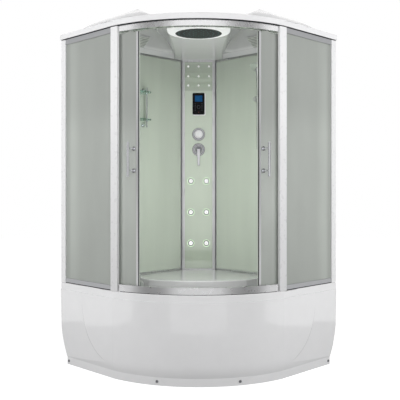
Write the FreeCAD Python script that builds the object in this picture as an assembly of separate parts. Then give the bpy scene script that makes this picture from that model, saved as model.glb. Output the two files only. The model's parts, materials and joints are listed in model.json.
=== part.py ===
import FreeCAD, Part
import math
import os

# Corner hydromassage shower cabin: deep tray, curved front and two sliding doors.
# Millimetres and degrees. X runs right, Y towards the room corner, Z up from the floor.
# The origin is on the floor, under the middle of the cabin's bounding box.

V = FreeCAD.Vector
up = V(0, 0, 1)
root_two = math.sqrt(2.0)
overrun = 20.0
full_turn = 360.0
right_angle = full_turn / 4
flat_angle = right_angle / 2
upright_share = 0.999
level_tolerance = 0.01

# Plan outline of the roof: two walls, two flat sides at the tips, one front arc
wall_side = 1200.0
flat_length = 523.0
front_radius = 765.0
corner_cut = 40.0

# Heights above the floor
total_height = 2150.0
roof_height = 175.0
roof_rim_height = 32.0
roof_gasket_gap = 5.0
header_height = 31.0
tray_top = 492.0
tray_lip_height = 40.0
sill_height = 35.0
door_top_gap = 9.0
door_bottom_gap = 4.0

# Tray and its basin
tray_inset = 5.0
tray_wall = 8.0
basin_front_inset = 95.0
basin_wall_inset = 107.0
basin_floor = 150.0
basin_taper = 42.0
basin_corner_radius = 55.0
basin_floor_radius = 30.0
ledge_radius = 5.0
seat_depth = 795.0
seat_flank_x = 306.0
seat_flank_set_back = 66.0
seat_wing_x = 430.0

# Waste, trap and overflow
drain_behind = 360.0
drain_neck_radius = 26.0
drain_flange_radius = 43.0
drain_flange_height = 3.5
drain_bore_radius = 20.0
drain_neck_length = 44.0
drain_spider = 5.0
cap_radius = 33.0
cap_thickness = 7.0
cap_stem_radius = 4.0
cap_guide_gap = 0.05
cap_lift_gap = 0.4
trap_cup_radius = 36.0
trap_cup_height = 56.0
trap_pipe_radius = 20.0
trap_pipe_wall = 2.5
trap_collar_radius = 26.0
trap_collar = 14.0
trap_pipe_behind = 1180.0
overflow_pipe_radius = 13.0
overflow_bend_radius = 45.0
overflow_height = 440.0
overflow_radius = 38.0
overflow_thickness = 9.0
overflow_neck_radius = 17.0
overflow_stand_off = 30.0

# Frame under the tray
frame_size = 30.0
frame_wall = 2.5
frame_front_inset = 90.0
frame_wall_inset = 45.0
upright_front_inset = 60.0
foot_radius = 21.0
foot_thickness = 10.0
foot_rod_radius = 6.0
foot_nut_radius = 11.0
foot_nut_thickness = 9.0
upright_wall_shares = (0.45, 0.92)

# Apron
apron_wall = 6.0
apron_base_inset = 14.0
apron_base_height = 45.0
apron_bend_height = 115.0
apron_wall_inset = 1.0
apron_end_cut = 58.0
apron_end_height = 235.0
cheek_circle_radius = 305.0
cheek_circle_height = 385.0
cheek_circle_from_kink = -15.0
cheek_depth = 18.0
cheek_crease_width = 30.0
cap_screw_radius = 8.0
cap_screw_thickness = 4.0
cap_screw_height = 22.0
cap_screw_from_end = 18.0

# Rails of the curved front
rail_setback = 25.0
rail_depth = 24.0
rail_wall = 3.0
rail_lip = 9.5
rail_face_depth = 12.0
rail_seal_width = 12.0
rail_face_rise = 5.0
rail_end_margin_angle = 1.6

# Posts and profiles round the flat sides
post_width = 58.0
post_depth = 17.0
post_inset = 6.0
post_wall = 2.5
post_radius = 3.0
joint_gap = 0.5
wall_profile_width = 46.0
wall_profile_inset = 2.0
wall_profile_depth = 22.0
profile_wall = 2.5
side_glass_inset = 13.5
side_glass = 4.5
side_profile_inset = 8.0
side_profile_height = 30.0
side_profile_foot = 6.0
side_sill_gap = 5.0
slot_depth = 10.0

# Doors
door_setback = 10.0
door_glass = 5.0
door_profile_width = 12.5
door_profile_depth = 14.0
door_seal_width = 5.0
door_seal_depth = 9.0
door_glass_bite = 7.0
door_open_share = 0.682
door_end_angle = 0.45
hanger_inset_angle = 4.6
hanger_width = 46.0
hanger_cheek = 2.2
hanger_grip = 24.0
hanger_stem_width = 16.0
hanger_stem = 4.0
hanger_stem_offset = 1.5
wheel_radius = 9.9
wheel_width = 5.5
wheel_bore = 3.05
axle_radius = 3.0
axle_head_radius = 4.6
axle_head = 1.0
wheel_gap = 0.3
shoe_width = 20.0
shoe_grip = 9.0
shoe_depth = 12.0
shoe_height = 16.0
shoe_floor_gap = 5.0
handle_reach = 60.0
handle_bar_radius = 8.0
handle_length = 191.0
handle_stand_spacing = 122.0
handle_stand_radius = 6.0
handle_disc_radius = 12.0
handle_disc = 4.0
handle_behind_edge = 35.0

# Back walls
wall_glass_inset = 51.6
wall_glass = 4.0
wall_frame_width = 13.0
wall_frame_depth = 20.0
wall_frame_proud = 2.4
wall_frame_bite = 8.0
wall_panel_start = 34.0
wall_panel_joint = 2.5

# Clips that hold the back frames on the tray
clip_length = 22.0
clip_width = 9.0
clip_height = 5.0
clip_from_flat = 466.0

# Column across the corner
column_face_behind = 1192.0
column_glass_width = 195.0
column_glass = 6.0
column_frame_width = 18.5
column_frame_depth = 26.0
column_frame_proud = 6.0
column_frame_bite = 6.0
column_base_height = 9.0

# Fittings on the column
nozzle_radius = 7.0
nozzle_pitch = 73.0
nozzle_proud = 4.0
nozzle_tail_radius = 4.5
nozzle_tail = 22.0
panel_width = 86.0
panel_height = 153.0
panel_proud = 11.0
panel_depth = 26.0
panel_radius = 8.0
screen_width = 52.0
screen_height = 44.0
screen_below_top = 18.0
screen_recess = 1.2
screen_thickness = 2.5
key_radius = 4.2
key_proud = 0.8
key_pitch_x = 24.0
key_pitch_z = 15.0
key_rows = 4
key_ring_radius = 13.0
rose_radius = 45.0
rose_spacing_gap = 19.0
rose_thickness = 9.0
rose_step = 2.5
spindle_radius = 14.0
rose_bore_radius = 14.1
knob_radius = 28.0
knob_length = 26.0
knob_skirt = 4.0
knob_flute_radius = 3.0
knob_flutes = 12
knob_gap = 0.4
cap_dome_radius = 26.0
cap_dome_length = 30.0
lever_width = 22.0
lever_thickness = 9.0
lever_length = 112.0
lever_fork_gap = 0.4
lever_pin_radius = 3.0
lever_pin_gap = 0.05
body_radius = 21.0
body_clearance = 2.5
body_round = 4.0
inlet_radius = 10.5
inlet_length = 34.0
inlet_spacing = 70.0
jet_x = 55.0
jet_flange_radius = 25.0
jet_flange = 4.5
jet_ball_radius = 14.6
jet_ball_gap = 0.3
jet_body_radius = 18.5
jet_body_length = 26.0
jet_hole_radius = 4.0
jet_tail_radius = 6.0
jet_tail = 14.0

# Shelves on the left wall
shelf_from_flat = 533.0
shelf_width = 196.0
shelf_depth = 96.0
shelf_glass = 8.0
shelf_rod_radius = 6.0
shelf_rod_spacing = 164.0
shelf_rod_depth = 45.0
shelf_rod_below = 44.0
shelf_rod_above = 40.0
shelf_collar_radius = 9.0
shelf_collar = 6.0
shelf_foot_radius = 13.0
shelf_foot = 8.0
shelf_foot_inset = 15.0

# Slide bar and hand shower on the right wall
bar_from_flat = 545.0
bar_radius = 10.0
bar_depth = 50.0
bar_foot_radius = 16.0
bar_foot = 9.0
bar_foot_inset = 22.0
outlet_radius = 10.5
outlet_length = 30.0
slider_radius = 17.0
slider_length = 40.0
slider_gap = 0.1
slider_knob_radius = 14.5
slider_knob = 22.0
slider_neck = 6.0
holder_reach = 30.0
holder_lean = 5.0
holder_pin_radius = 5.0
holder_gap = 0.4
holder_length = 36.0
holder_low_radius = 14.0
holder_high_radius = 17.0
holder_bore_low = 10.0
holder_bore_high = 12.0
shower_handle_length = 190.0
shower_handle_radius = 11.0
shower_cone_gap = 0.3
shower_head_radius = 44.0
shower_head_thickness = 22.0
shower_head_lean = 55.0

# Roof
roof_wall = 5.0
roof_ring_front = 45.0
roof_ring_wall = 54.0
roof_ring_slope = 28.0
dome_front_inset = 55.0
dome_wall_inset = 80.0
dome_peak_x = 371.0
dome_peak_behind = 500.0
dome_nose_x = 300.0
dome_nose_behind = 300.0
channel_half_width = 172.0
channel_front_behind = 592.0
channel_waist = 14.0
channel_land = 42.0
dome_corner_radius = 40.0
rain_behind = 439.0
rain_housing_radius = 185.0
rain_housing_front_behind = 330.0
rain_housing_rear_behind = 400.0
rain_housing_height = 12.0
rain_head_radius = 139.0
rain_head_recess = 2.0
rain_ring_rows = 4
rain_first_ring = 6
rain_hole_radius = 3.2
rain_hole_depth = 1.2
pad_width = 120.0
pad_length = 94.0
pad_from_flat = 533.0
pad_slope = 38.0
grille_thickness = 5.0
grille_slot = 5.0
fan_radius = 34.0
fan_height = 34.0
speaker_radius = 30.0
speaker_height = 28.0

# Shares of a piece's own size
cap_crown_share = 0.7
cover_face_share = 0.8
screw_cap_arc_share = 0.45
cross_height_share = 0.8
rose_step_share = 0.72
knob_grip_share = 0.88
knob_end_share = 0.78
knob_flute_share = 0.9
lever_pin_depth_share = 0.62
lever_slot_share = 1.4
lever_room_share = 1.2
lever_end_share = 0.75
jet_face_share = 0.42
jet_back_share = 0.7
shelf_corner_share = 0.4
wall_stub_share = 0.9
shower_head_back_share = 0.6
channel_bow_share = 0.45
channel_bow_height_share = 0.24
rain_rim_share = 0.6

# Places of the fittings, as shares of the enclosure's height above the tray
nozzle_row_shares = (0.971, 0.924, 0.880)
panel_share = 0.792
mixer_share = 0.573
jet_row_shares = (0.4235, 0.2750, 0.1270)
handle_share = 0.494
shelf_shares = (0.692, 0.814)
bar_low_share = 0.582
bar_high_share = 0.855

# Place of the slider, as a share of the bar's length
slider_share = 0.734

# Shares of the dome's base left at each share of its height, from the foot to the crown
dome_section_shares = ((0.0, 1.0), (0.40, 0.76), (0.72, 0.37), (0.93, 0.13), (1.0, 0.05))

# Shares of the apron's base inset at each share of its bend height, from the base band up
apron_bend_shares = ((0.0, 1.0), (0.12, 0.76), (0.32, 0.43), (0.60, 0.13), (0.84, 0.015), (1.0, 0.0))

# Shares of the apron's end cut at each share of the cut's height, from the base band up
apron_end_shares = ((0.0, 1.0), (0.14, 0.76), (0.30, 0.52), (0.48, 0.32), (0.72, 0.12), (1.0, 0.0))

# Places worked out from the plan
tip_x = wall_side / root_two
kink_x = tip_x - flat_length / root_two
kink_angle = math.degrees(math.asin(kink_x / front_radius))
arc_rise = front_radius - math.sqrt(front_radius ** 2 - kink_x ** 2)
corner_behind = arc_rise + (wall_side + flat_length) / root_two
front_y = -(corner_behind - corner_cut) / 2
centre_y = front_y + front_radius
kink_y = front_y + arc_rise
tip_y = kink_y + flat_length / root_two
corner_y = front_y + corner_behind
back_y = corner_y - corner_cut
arc_centre = V(0, centre_y, 0)
rail_outer_radius = front_radius - rail_setback
rail_inner_radius = rail_outer_radius - rail_depth
rail_face_radius = rail_outer_radius + rail_face_depth
door_radius = rail_outer_radius - door_setback
handle_radius = door_radius + handle_reach
post_angle = (kink_angle + math.degrees(math.atan(1.0))) / 2
column_face_y = front_y + column_face_behind
seat_front_y = corner_y - seat_depth
rain_y = front_y + rain_behind
roof_bottom = total_height - roof_height
header_top = roof_bottom - roof_gasket_gap
header_bottom = header_top - header_height
tray_lip_bottom = tray_top - tray_lip_height
sill_top = tray_top + sill_height
door_bottom = sill_top + door_bottom_gap
door_top = header_bottom - door_top_gap
enclosure_height = roof_bottom - tray_top
nozzle_rows = [tray_top + enclosure_height * share for share in nozzle_row_shares]
jet_rows = [tray_top + enclosure_height * share for share in jet_row_shares]
shelf_rows = [tray_top + enclosure_height * share for share in shelf_shares]
panel_middle = tray_top + enclosure_height * panel_share
mixer_height = tray_top + enclosure_height * mixer_share
diverter_height = mixer_height + rose_radius * 2 + rose_spacing_gap
handle_middle = tray_top + enclosure_height * handle_share
bar_low = tray_top + enclosure_height * bar_low_share
bar_high = tray_top + enclosure_height * bar_high_share
slider_height = bar_low + (bar_high - bar_low) * slider_share


# Helpers

def slab(x_low, x_high, y_low, y_high, z_low, z_high):
    """A block between two corners."""
    return Part.makeBox(x_high - x_low, y_high - y_low, z_high - z_low, V(x_low, y_low, z_low))


def rod(radius, length, base, axis):
    """A cylinder from its base along an axis."""
    return Part.makeCylinder(radius, length, base, axis)


def cone(radius_base, radius_end, length, base, axis):
    """A cone from its base along an axis."""
    return Part.makeCone(radius_base, radius_end, length, base, axis)


def fused(shapes):
    """One solid made of several, with the seams between flush faces removed."""
    whole = shapes[0]
    for extra in shapes[1:]:
        whole = whole.fuse(extra)
    return whole.removeSplitter()


def loop(points):
    """A closed wire through points in order."""
    return Part.makePolygon(list(points) + [points[0]])


def prism(points, z_low, z_high):
    """A polygon in plan carried up between two heights."""
    corners = [V(x, y, z_low) for x, y in points]
    return Part.Face(loop(corners)).extrude(V(0, 0, z_high - z_low))


def upright_edges(shape):
    """Straight edges that run along Z."""
    found = []
    for edge in shape.Edges:
        run = edge.Vertexes[-1].Point - edge.Vertexes[0].Point
        if run.Length > 0 and abs(run.normalize().z) > upright_share:
            found.append(edge)
    return found


def edges_at(shape, z, tolerance=level_tolerance):
    """Edges that lie wholly at one height."""
    box_of = [(edge, edge.BoundBox) for edge in shape.Edges]
    return [edge for edge, box in box_of if abs(box.ZMin - z) < tolerance and abs(box.ZMax - z) < tolerance]


def mirrored(shape):
    """The same piece on the other side of the cabin."""
    return shape.mirror(V(0, 0, 0), V(1, 0, 0))


def turned(shape, angle):
    """A piece turned about the centre of the front arc, positive towards the right."""
    copy = shape.copy()
    copy.rotate(arc_centre, up, angle)
    return copy


def arc_angle(length, radius):
    """The angle that a length takes up on an arc."""
    return math.degrees(length / radius)


def swept(section, angle_from, angle_to):
    """A section in radius and height, carried round the front arc between two angles."""
    corners = [V(0, centre_y - radius, z) for radius, z in section]
    face = Part.Face(loop(corners))
    face.rotate(arc_centre, up, angle_from)
    return face.revolve(arc_centre, up, angle_to - angle_from)


def band(radius_in, radius_out, z_low, z_high, angle_from, angle_to):
    """A rectangular section carried round the front arc."""
    section = ((radius_in, z_low), (radius_out, z_low), (radius_out, z_high), (radius_in, z_high))
    return swept(section, angle_from, angle_to)


def placed(shape, angle, x, y):
    """A piece drawn in a side's own frame, put on that side."""
    copy = shape.copy()
    copy.rotate(V(0, 0, 0), up, angle)
    copy.translate(V(x, y, 0))
    return copy


def on_flat(shape):
    """Right flat side: x from the post to the tip, y inwards from the roof's outline."""
    return placed(shape, flat_angle, kink_x, kink_y)


def on_wall(shape):
    """Right wall: x from the flat side to the corner, y inwards from the roof's outline."""
    return placed(shape, flat_angle + right_angle, tip_x, tip_y)


# Plan outlines

def plan_corners(front_in, wall_in):
    """Right-hand corners of the plan, pulled in from the front and from the wall."""
    radius = front_radius - front_in
    start_x = kink_x - front_in / root_two
    start_y = kink_y + front_in / root_two - centre_y
    along = (start_x + start_y) / root_two
    step = -along - math.sqrt(along ** 2 - start_x ** 2 - start_y ** 2 + radius ** 2)
    kink = (start_x + step / root_two, centre_y + start_y + step / root_two)
    flat_level = kink_x - kink_y - front_in * root_two
    wall_level = corner_y - wall_in * root_two
    tip = ((wall_level + flat_level) / 2, (wall_level - flat_level) / 2)
    rear_y = back_y - wall_in
    rear = (wall_level - rear_y, rear_y)
    return kink, tip, rear


def line(start, end, z):
    """A straight edge between two plan points."""
    return Part.LineSegment(V(start[0], start[1], z), V(end[0], end[1], z)).toShape()


def arc(start, middle, end, z):
    """An arc through three plan points."""
    three = [V(point[0], point[1], z) for point in (start, middle, end)]
    return Part.Arc(*three).toShape()


def flipped(point):
    """A plan point on the other side of the cabin."""
    return (-point[0], point[1])


def plan_face(front_in, wall_in, z):
    """The whole plan outline as a face."""
    kink, tip, rear = plan_corners(front_in, wall_in)
    edges = [
        arc(flipped(kink), (0, front_y + front_in), kink, z),
        line(kink, tip, z),
        line(tip, rear, z),
        line(rear, flipped(rear), z),
        line(flipped(rear), flipped(tip), z),
        line(flipped(tip), flipped(kink), z),
    ]
    return Part.Face(Part.Wire(edges))


def plan_block(front_in, wall_in, z_low, z_high):
    """The plan outline carried up between two heights."""
    return plan_face(front_in, wall_in, z_low).extrude(V(0, 0, z_high - z_low))


# Base

def seat_points():
    """Right-hand points where the basin wall turns round the corner seat."""
    wall_level = corner_y - basin_wall_inset * root_two
    wing = (seat_wing_x, wall_level - seat_wing_x)
    flank = (seat_flank_x, seat_front_y + seat_flank_set_back)
    return wing, flank


def basin_face(z):
    """Plan of the basin's mouth, with the corner seat bulging into it."""
    kink, tip, _ = plan_corners(basin_front_inset, basin_wall_inset)
    wing, flank = seat_points()
    edges = [
        arc(flipped(kink), (0, front_y + basin_front_inset), kink, z),
        line(kink, tip, z),
        line(tip, wing, z),
        line(wing, flank, z),
        arc(flank, (0, seat_front_y), flipped(flank), z),
        line(flipped(flank), flipped(wing), z),
        line(flipped(wing), flipped(tip), z),
        line(flipped(tip), flipped(kink), z),
    ]
    block = Part.Face(Part.Wire(edges)).extrude(up * basin_taper)
    block = block.makeFillet(basin_corner_radius, upright_edges(block))
    foot = min(block.Faces, key=lambda face: face.BoundBox.ZMax)
    return foot


def basin_body(growth, z_low, z_high):
    """Tapered body of the basin, grown by a wall thickness."""
    mouth = basin_face(z_high).OuterWire
    high = mouth.makeOffset2D(growth) if growth else mouth
    low = mouth.makeOffset2D(growth - basin_taper)
    low.translate(V(0, 0, z_low - z_high))
    body = Part.makeLoft([low, high], True, True)
    return body.makeFillet(basin_floor_radius + growth, edges_at(body, z_low))


def drain_axis():
    """Plan place of the waste."""
    return V(0, front_y + drain_behind, 0)


def overflow_frame():
    """Place on the basin's left flank and the direction out through that leaning wall."""
    wing, flank = seat_points()
    run = V(wing[0] - flank[0], wing[1] - flank[1], 0)
    run.normalize()
    height = tray_top - basin_floor
    depth_share = (tray_top - overflow_height) / height
    inward = V(run.y, -run.x, 0)
    middle = V((wing[0] + flank[0]) / 2, (wing[1] + flank[1]) / 2, overflow_height)
    point = middle + inward * (basin_taper * depth_share)
    outward = V(inward.x * height, -inward.y * height, -basin_taper)
    outward.normalize()
    return V(-point.x, point.y, point.z), outward


def tray():
    rim = plan_block(tray_inset, tray_inset, tray_lip_bottom, tray_top)
    rim = rim.makeFillet(ledge_radius, edges_at(rim, tray_top))
    pocket_inset = tray_inset + tray_wall
    pocket = plan_block(pocket_inset, pocket_inset, tray_lip_bottom - overrun, tray_top - tray_wall)
    shell = rim.cut(pocket)
    shell = shell.fuse(basin_body(tray_wall, basin_floor - tray_wall, tray_top - tray_wall / 2))
    shell = shell.cut(basin_body(0, basin_floor, tray_top))
    hole_low = drain_axis() + up * (basin_floor - tray_wall - overrun)
    drain_hole = rod(drain_neck_radius, tray_wall + overrun * 2, hole_low, up)
    place, outward = overflow_frame()
    overflow_hole = rod(overflow_neck_radius, tray_wall + overrun * 2, place - outward * overrun, outward)
    return shell.cut(drain_hole).cut(overflow_hole)


def apron_outline(depth):
    """Closed body of the apron, its skin drawn in by a depth, with the bend above the base band."""
    wall_in = -overrun if depth else apron_wall_inset
    top = tray_lip_bottom + (overrun if depth else 0)
    foot = -overrun if depth else 0
    upper = Part.makeLoft([plan_face(depth, wall_in, z).OuterWire for z in (apron_bend_height, top)], True, True)
    bend = apron_bend_height - apron_base_height
    sections = []
    for height_share, inset_share in apron_bend_shares:
        z = apron_base_height + bend * height_share
        sections.append(plan_face(apron_base_inset * inset_share + depth, wall_in, z).OuterWire)
    lower = Part.makeLoft(sections, True, False)
    base = Part.makeLoft([plan_face(apron_base_inset + depth, wall_in, z).OuterWire
                          for z in (foot, apron_base_height)], True, True)
    return fused([upper, lower, base])


def cheek_cut(depth):
    """What is taken off the right flat outside its crescent crease, in the flat side's own frame."""
    radius = cheek_circle_radius
    centre = V(cheek_circle_from_kink, depth, cheek_circle_height)
    start = centre + V(radius, 0, 0)
    end = centre - V(0, 0, radius)
    run = start - end
    outward = V(1, 0, -1) * (flat_length / root_two)
    corners = [start + run, end - run, end - run + outward, start + run + outward]
    back = corners[:2] + [corner + V(0, cheek_depth, 0) for corner in corners[2:]]
    front = [corner - V(0, apron_wall * 2, 0) for corner in corners]
    wedge = Part.makeLoft([loop(front), loop(back)], True, True)
    reach = apron_wall * 3
    draft = cheek_crease_width * reach / apron_wall / 2
    bulge = cone(radius - draft, radius + draft, reach * 2, centre - V(0, reach, 0), V(0, 1, 0))
    return wedge.cut(bulge)


def apron_end_cutter():
    """What is taken off the wall end of the right flat, in the flat side's own frame."""
    tip = flat_length - apron_wall_inset
    rise = apron_end_height - apron_base_height
    curve = [V(tip - apron_end_cut * cut_share, -overrun, apron_base_height + rise * height_share)
             for height_share, cut_share in apron_end_shares]
    spline = Part.BSplineCurve()
    spline.interpolate(curve)
    foot = V(tip - apron_end_cut, -overrun, -overrun)
    far_foot = V(tip + overrun, -overrun, -overrun)
    far_top = V(tip + overrun, -overrun, apron_end_height)
    edges = [Part.LineSegment(foot, curve[0]).toShape(), spline.toShape(),
             Part.LineSegment(curve[-1], far_top).toShape(), Part.LineSegment(far_top, far_foot).toShape(),
             Part.LineSegment(far_foot, foot).toShape()]
    return Part.Face(Part.Wire(edges)).extrude(V(0, overrun * 2 + apron_base_inset * 2 + cheek_depth * 2, 0))


def front_apron():
    """Moulding round the front: upright above, a crescent crease on each flat and a base band below."""
    skin = apron_outline(0)
    room = apron_outline(apron_wall)
    cheek = on_flat(cheek_cut(0))
    inner_cheek = on_flat(cheek_cut(apron_wall))
    skin = skin.cut(cheek).cut(mirrored(cheek))
    room = room.cut(inner_cheek).cut(mirrored(inner_cheek))
    end = on_flat(apron_end_cutter())
    return skin.cut(room).cut(end).cut(mirrored(end))


def screw_cap(place):
    """One domed cap whose flat back lies on an upright face behind it."""
    head = rod(cap_screw_radius, cap_screw_thickness, place, V(0, -1, 0))
    front = place.y - cap_screw_thickness
    rim = [edge for edge in head.Edges if edge.Closed and edge.BoundBox.YMax < front + cap_screw_thickness / 2]
    return head.makeFillet(cap_screw_thickness / 2, rim)


def apron_caps():
    """Screw caps on the base band, two on the arc and two on the flats."""
    along = flat_length - apron_wall_inset - apron_end_cut - cap_screw_from_end
    flat_place = V(along, apron_base_inset, cap_screw_height)
    front_place = V(0, front_y + apron_base_inset, cap_screw_height)
    on_arc = turned(screw_cap(front_place), kink_angle * screw_cap_arc_share)
    on_side = on_flat(screw_cap(flat_place))
    return Part.makeCompound([on_arc, mirrored(on_arc), on_side, mirrored(on_side)])


def ring_corners(front_in, wall_in):
    """Corners of a polygon that follows the plan, all the way round."""
    kink, tip, rear = plan_corners(front_in, wall_in)
    right = [kink, tip, rear]
    return right + [flipped(point) for point in reversed(right)]


def bar_between(start, end, width, z_low, z_high, extra):
    """A level bar of given width from one plan point to another."""
    run = V(end[0] - start[0], end[1] - start[1], 0)
    length = run.Length
    angle = math.degrees(math.atan2(run.y, run.x))
    bar = slab(-extra, length + extra, -width / 2, width / 2, z_low, z_high)
    return placed(bar, angle, start[0], start[1])


def frame_levels():
    """Bottom and top of the level frame bars."""
    top = basin_floor - tray_wall
    return top - frame_size, top


def frame_bars():
    """End points of the level bars: the ring, and one bar across under the basin."""
    corners = ring_corners(frame_front_inset, frame_wall_inset)
    ends = list(zip(corners, corners[1:] + corners[:1]))
    tip, far_tip = corners[1], corners[4]
    ends.append((tip, far_tip))
    return ends


def upright_places():
    """Plan point and foot height of each upright: beside the ring at the kinks, on it elsewhere."""
    low, top = frame_levels()
    beside = plan_corners(upright_front_inset, frame_wall_inset)[0]
    _, tip, rear = plan_corners(frame_front_inset, frame_wall_inset)
    places = [(beside, low), (tip, top)]
    for share in upright_wall_shares:
        point = tuple(a + (b - a) * share for a, b in zip(tip, rear))
        places.append((point, top))
    return places + [(flipped(point), z) for point, z in places]


def tray_frame():
    low, top = frame_levels()
    half = frame_size / 2
    bore = half - frame_wall
    bars = [bar_between(start, end, frame_size, low, top, half) for start, end in frame_bars()]
    solid = fused(bars)
    for start, end in frame_bars():
        solid = solid.cut(bar_between(start, end, bore * 2, low - overrun, top - frame_wall, bore))
    for (x, y), foot in upright_places():
        solid = solid.fuse(placed(slab(-half, half, -half, half, foot, tray_top - tray_wall), flat_angle, x, y))
    for (x, y), foot in upright_places():
        start = foot if foot == low else top
        solid = solid.cut(placed(slab(-bore, bore, -bore, bore, start, tray_top - tray_wall), flat_angle, x, y))
    for point in foot_places():
        solid = solid.fuse(rod(foot_nut_radius, frame_size, point + up * low, up))
        solid = solid.cut(rod(foot_rod_radius, frame_size - frame_wall, point + up * low, up))
    return solid


def foot_places():
    """Plan places of the feet, under the ring."""
    kink, tip, rear = plan_corners(frame_front_inset, frame_wall_inset)
    middle = tuple((a + b) / 2 for a, b in zip(tip, rear))
    inner = (kink[0] - frame_size * 2, kink[1])
    right = [inner, tip, middle]
    back = [(0, rear[1])]
    return [V(x, y, 0) for x, y in right + [flipped(point) for point in right] + back]


def leveling_feet():
    """Threaded feet: rubber pad, rod and lock nut in one foot, seven feet in all."""
    low, _ = frame_levels()
    feet = []
    for place in foot_places():
        pad = rod(foot_radius, foot_thickness / 2, place, up)
        pad = pad.fuse(cone(foot_radius, foot_nut_radius, foot_thickness / 2, place + up * (foot_thickness / 2), up))
        shank = rod(foot_rod_radius, low + frame_size / 2, place, up)
        nut = rod(foot_nut_radius, foot_nut_thickness, place + up * (low - foot_nut_thickness), up)
        feet.append(fused([pad, shank, nut]))
    return Part.makeCompound(feet)


# Waste

def drain_body():
    """Flanged waste with a guide for the cap's stem."""
    axis = drain_axis()
    flange = cone(drain_flange_radius, drain_flange_radius - drain_flange_height / 2, drain_flange_height,
                  axis + up * basin_floor, up)
    neck = rod(drain_neck_radius, drain_neck_length + tray_wall, axis + up * (basin_floor - tray_wall
                                                                              - drain_neck_length), up)
    body = flange.fuse(neck)
    bore_low = axis + up * (basin_floor - tray_wall - drain_neck_length)
    body = body.cut(rod(drain_bore_radius, drain_neck_length + overrun * 2, bore_low, up))
    guide_low = basin_floor - tray_wall - drain_spider
    guide = rod(cap_stem_radius * 2, drain_spider * 2, axis + up * guide_low, up)
    arms = slab(-drain_bore_radius - drain_flange_height / 2, drain_bore_radius + drain_flange_height / 2,
                -drain_spider / 2, drain_spider / 2, guide_low, guide_low + drain_spider)
    cross = arms.fuse(placed(arms, right_angle, 0, 0))
    cross.translate(axis)
    body = body.fuse(cross).fuse(guide)
    stem_hole = rod(cap_stem_radius + cap_guide_gap, overrun * 2, axis + up * (guide_low - overrun / 2), up)
    return body.cut(stem_hole).removeSplitter()


def drain_cap():
    """Domed cap on a stem that slides up in the waste."""
    axis = drain_axis()
    seat = basin_floor + drain_flange_height + cap_lift_gap
    lower = rod(cap_radius, cap_thickness / 2, axis + up * seat, up)
    upper = cone(cap_radius, cap_radius * cap_crown_share, cap_thickness / 2,
                 axis + up * (seat + cap_thickness / 2), up)
    stem_low = basin_floor - tray_wall - drain_spider * 2
    stem = rod(cap_stem_radius, seat - stem_low, axis + up * stem_low, up)
    return fused([lower, upper, stem])


def trap_levels():
    """Bottom and top of the trap's cup, and the outlet's height."""
    top = basin_floor - tray_wall - drain_neck_length
    low = top - trap_cup_height
    return low, top, low + trap_cup_height / 2


def drain_trap():
    """Trap cup under the waste, outlet pipe to the back and overflow pipe down from the overflow."""
    low, top, outlet_z = trap_levels()
    axis = drain_axis()
    start = axis + up * outlet_z
    length = front_y + trap_pipe_behind - start.y
    cup = rod(trap_cup_radius, trap_cup_height, axis + up * low, up)
    outlet = rod(trap_pipe_radius, length, start, V(0, 1, 0))
    collar = rod(trap_collar_radius, trap_cup_radius + trap_collar, start, V(0, 1, 0))
    place, outward = overflow_frame()
    box_start = place + outward * (tray_wall + overflow_stand_off / 2)
    box = rod(overflow_neck_radius + trap_pipe_wall, overflow_stand_off, box_start, outward)
    head = box_start + outward * (overflow_stand_off / 2)
    foot = V(head.x, head.y, outlet_z)
    run = V(start.x - foot.x, start.y - foot.y, 0)
    run.normalize()
    corner = foot + run * overflow_bend_radius + up * overflow_bend_radius
    middle = corner - (run + up) * (overflow_bend_radius / root_two)
    path = Part.Wire([
        Part.LineSegment(head, foot + up * overflow_bend_radius).toShape(),
        Part.Arc(foot + up * overflow_bend_radius, middle, foot + run * overflow_bend_radius).toShape(),
        Part.LineSegment(foot + run * overflow_bend_radius, start).toShape(),
    ])
    circle = Part.Wire(Part.makeCircle(overflow_pipe_radius, head, V(0, 0, 1)))
    pipe = path.makePipeShell([circle], True, False)
    body = cup.fuse(collar).fuse(outlet).fuse(box).fuse(pipe)
    bore_radius = trap_pipe_radius - trap_pipe_wall
    body = body.cut(rod(bore_radius, length + overrun, start + V(0, trap_cup_radius, 0), V(0, 1, 0)))
    well = rod(trap_cup_radius - trap_pipe_wall * 2, trap_cup_height - trap_pipe_wall * 2,
               axis + up * (low + trap_pipe_wall * 2), up)
    return body.cut(well)


def overflow_cover():
    """Round cover on the basin's left flank, with its neck through the wall."""
    place, outward = overflow_frame()
    inward = outward * -1
    disc = rod(overflow_radius, overflow_thickness / 2, place, inward)
    face = cone(overflow_radius, overflow_radius * cover_face_share, overflow_thickness / 2,
                place + inward * (overflow_thickness / 2), inward)
    neck = rod(overflow_neck_radius, tray_wall + overflow_stand_off / 2, place, outward)
    return fused([disc, face, neck])


# Rails of the curved front

def rail_end_angle():
    """How far round each rail runs, past the end of an open door."""
    return kink_angle * (1 + door_open_share) - door_end_angle + rail_end_margin_angle


def face_half_angle():
    """Half of the visible rail face, up to the inner corner of a post."""
    corner = V(-post_width / 2 - joint_gap, post_inset + post_depth, 0)
    corner = FreeCAD.Rotation(up, post_angle).multVec(corner) + V(kink_x, kink_y, 0)
    return math.degrees(math.atan2(corner.x, centre_y - corner.y))


def rail_face(z_low, z_high):
    """Hollow face of a rail between the posts."""
    half = face_half_angle()
    spare = arc_angle(overrun, front_radius)
    outside = band(rail_outer_radius, rail_face_radius, z_low, z_high, -half, half)
    inside = band(rail_outer_radius, rail_face_radius - rail_wall, z_low + rail_wall, z_high - rail_wall,
                  -half - spare, half + spare)
    return outside.cut(inside)


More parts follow.
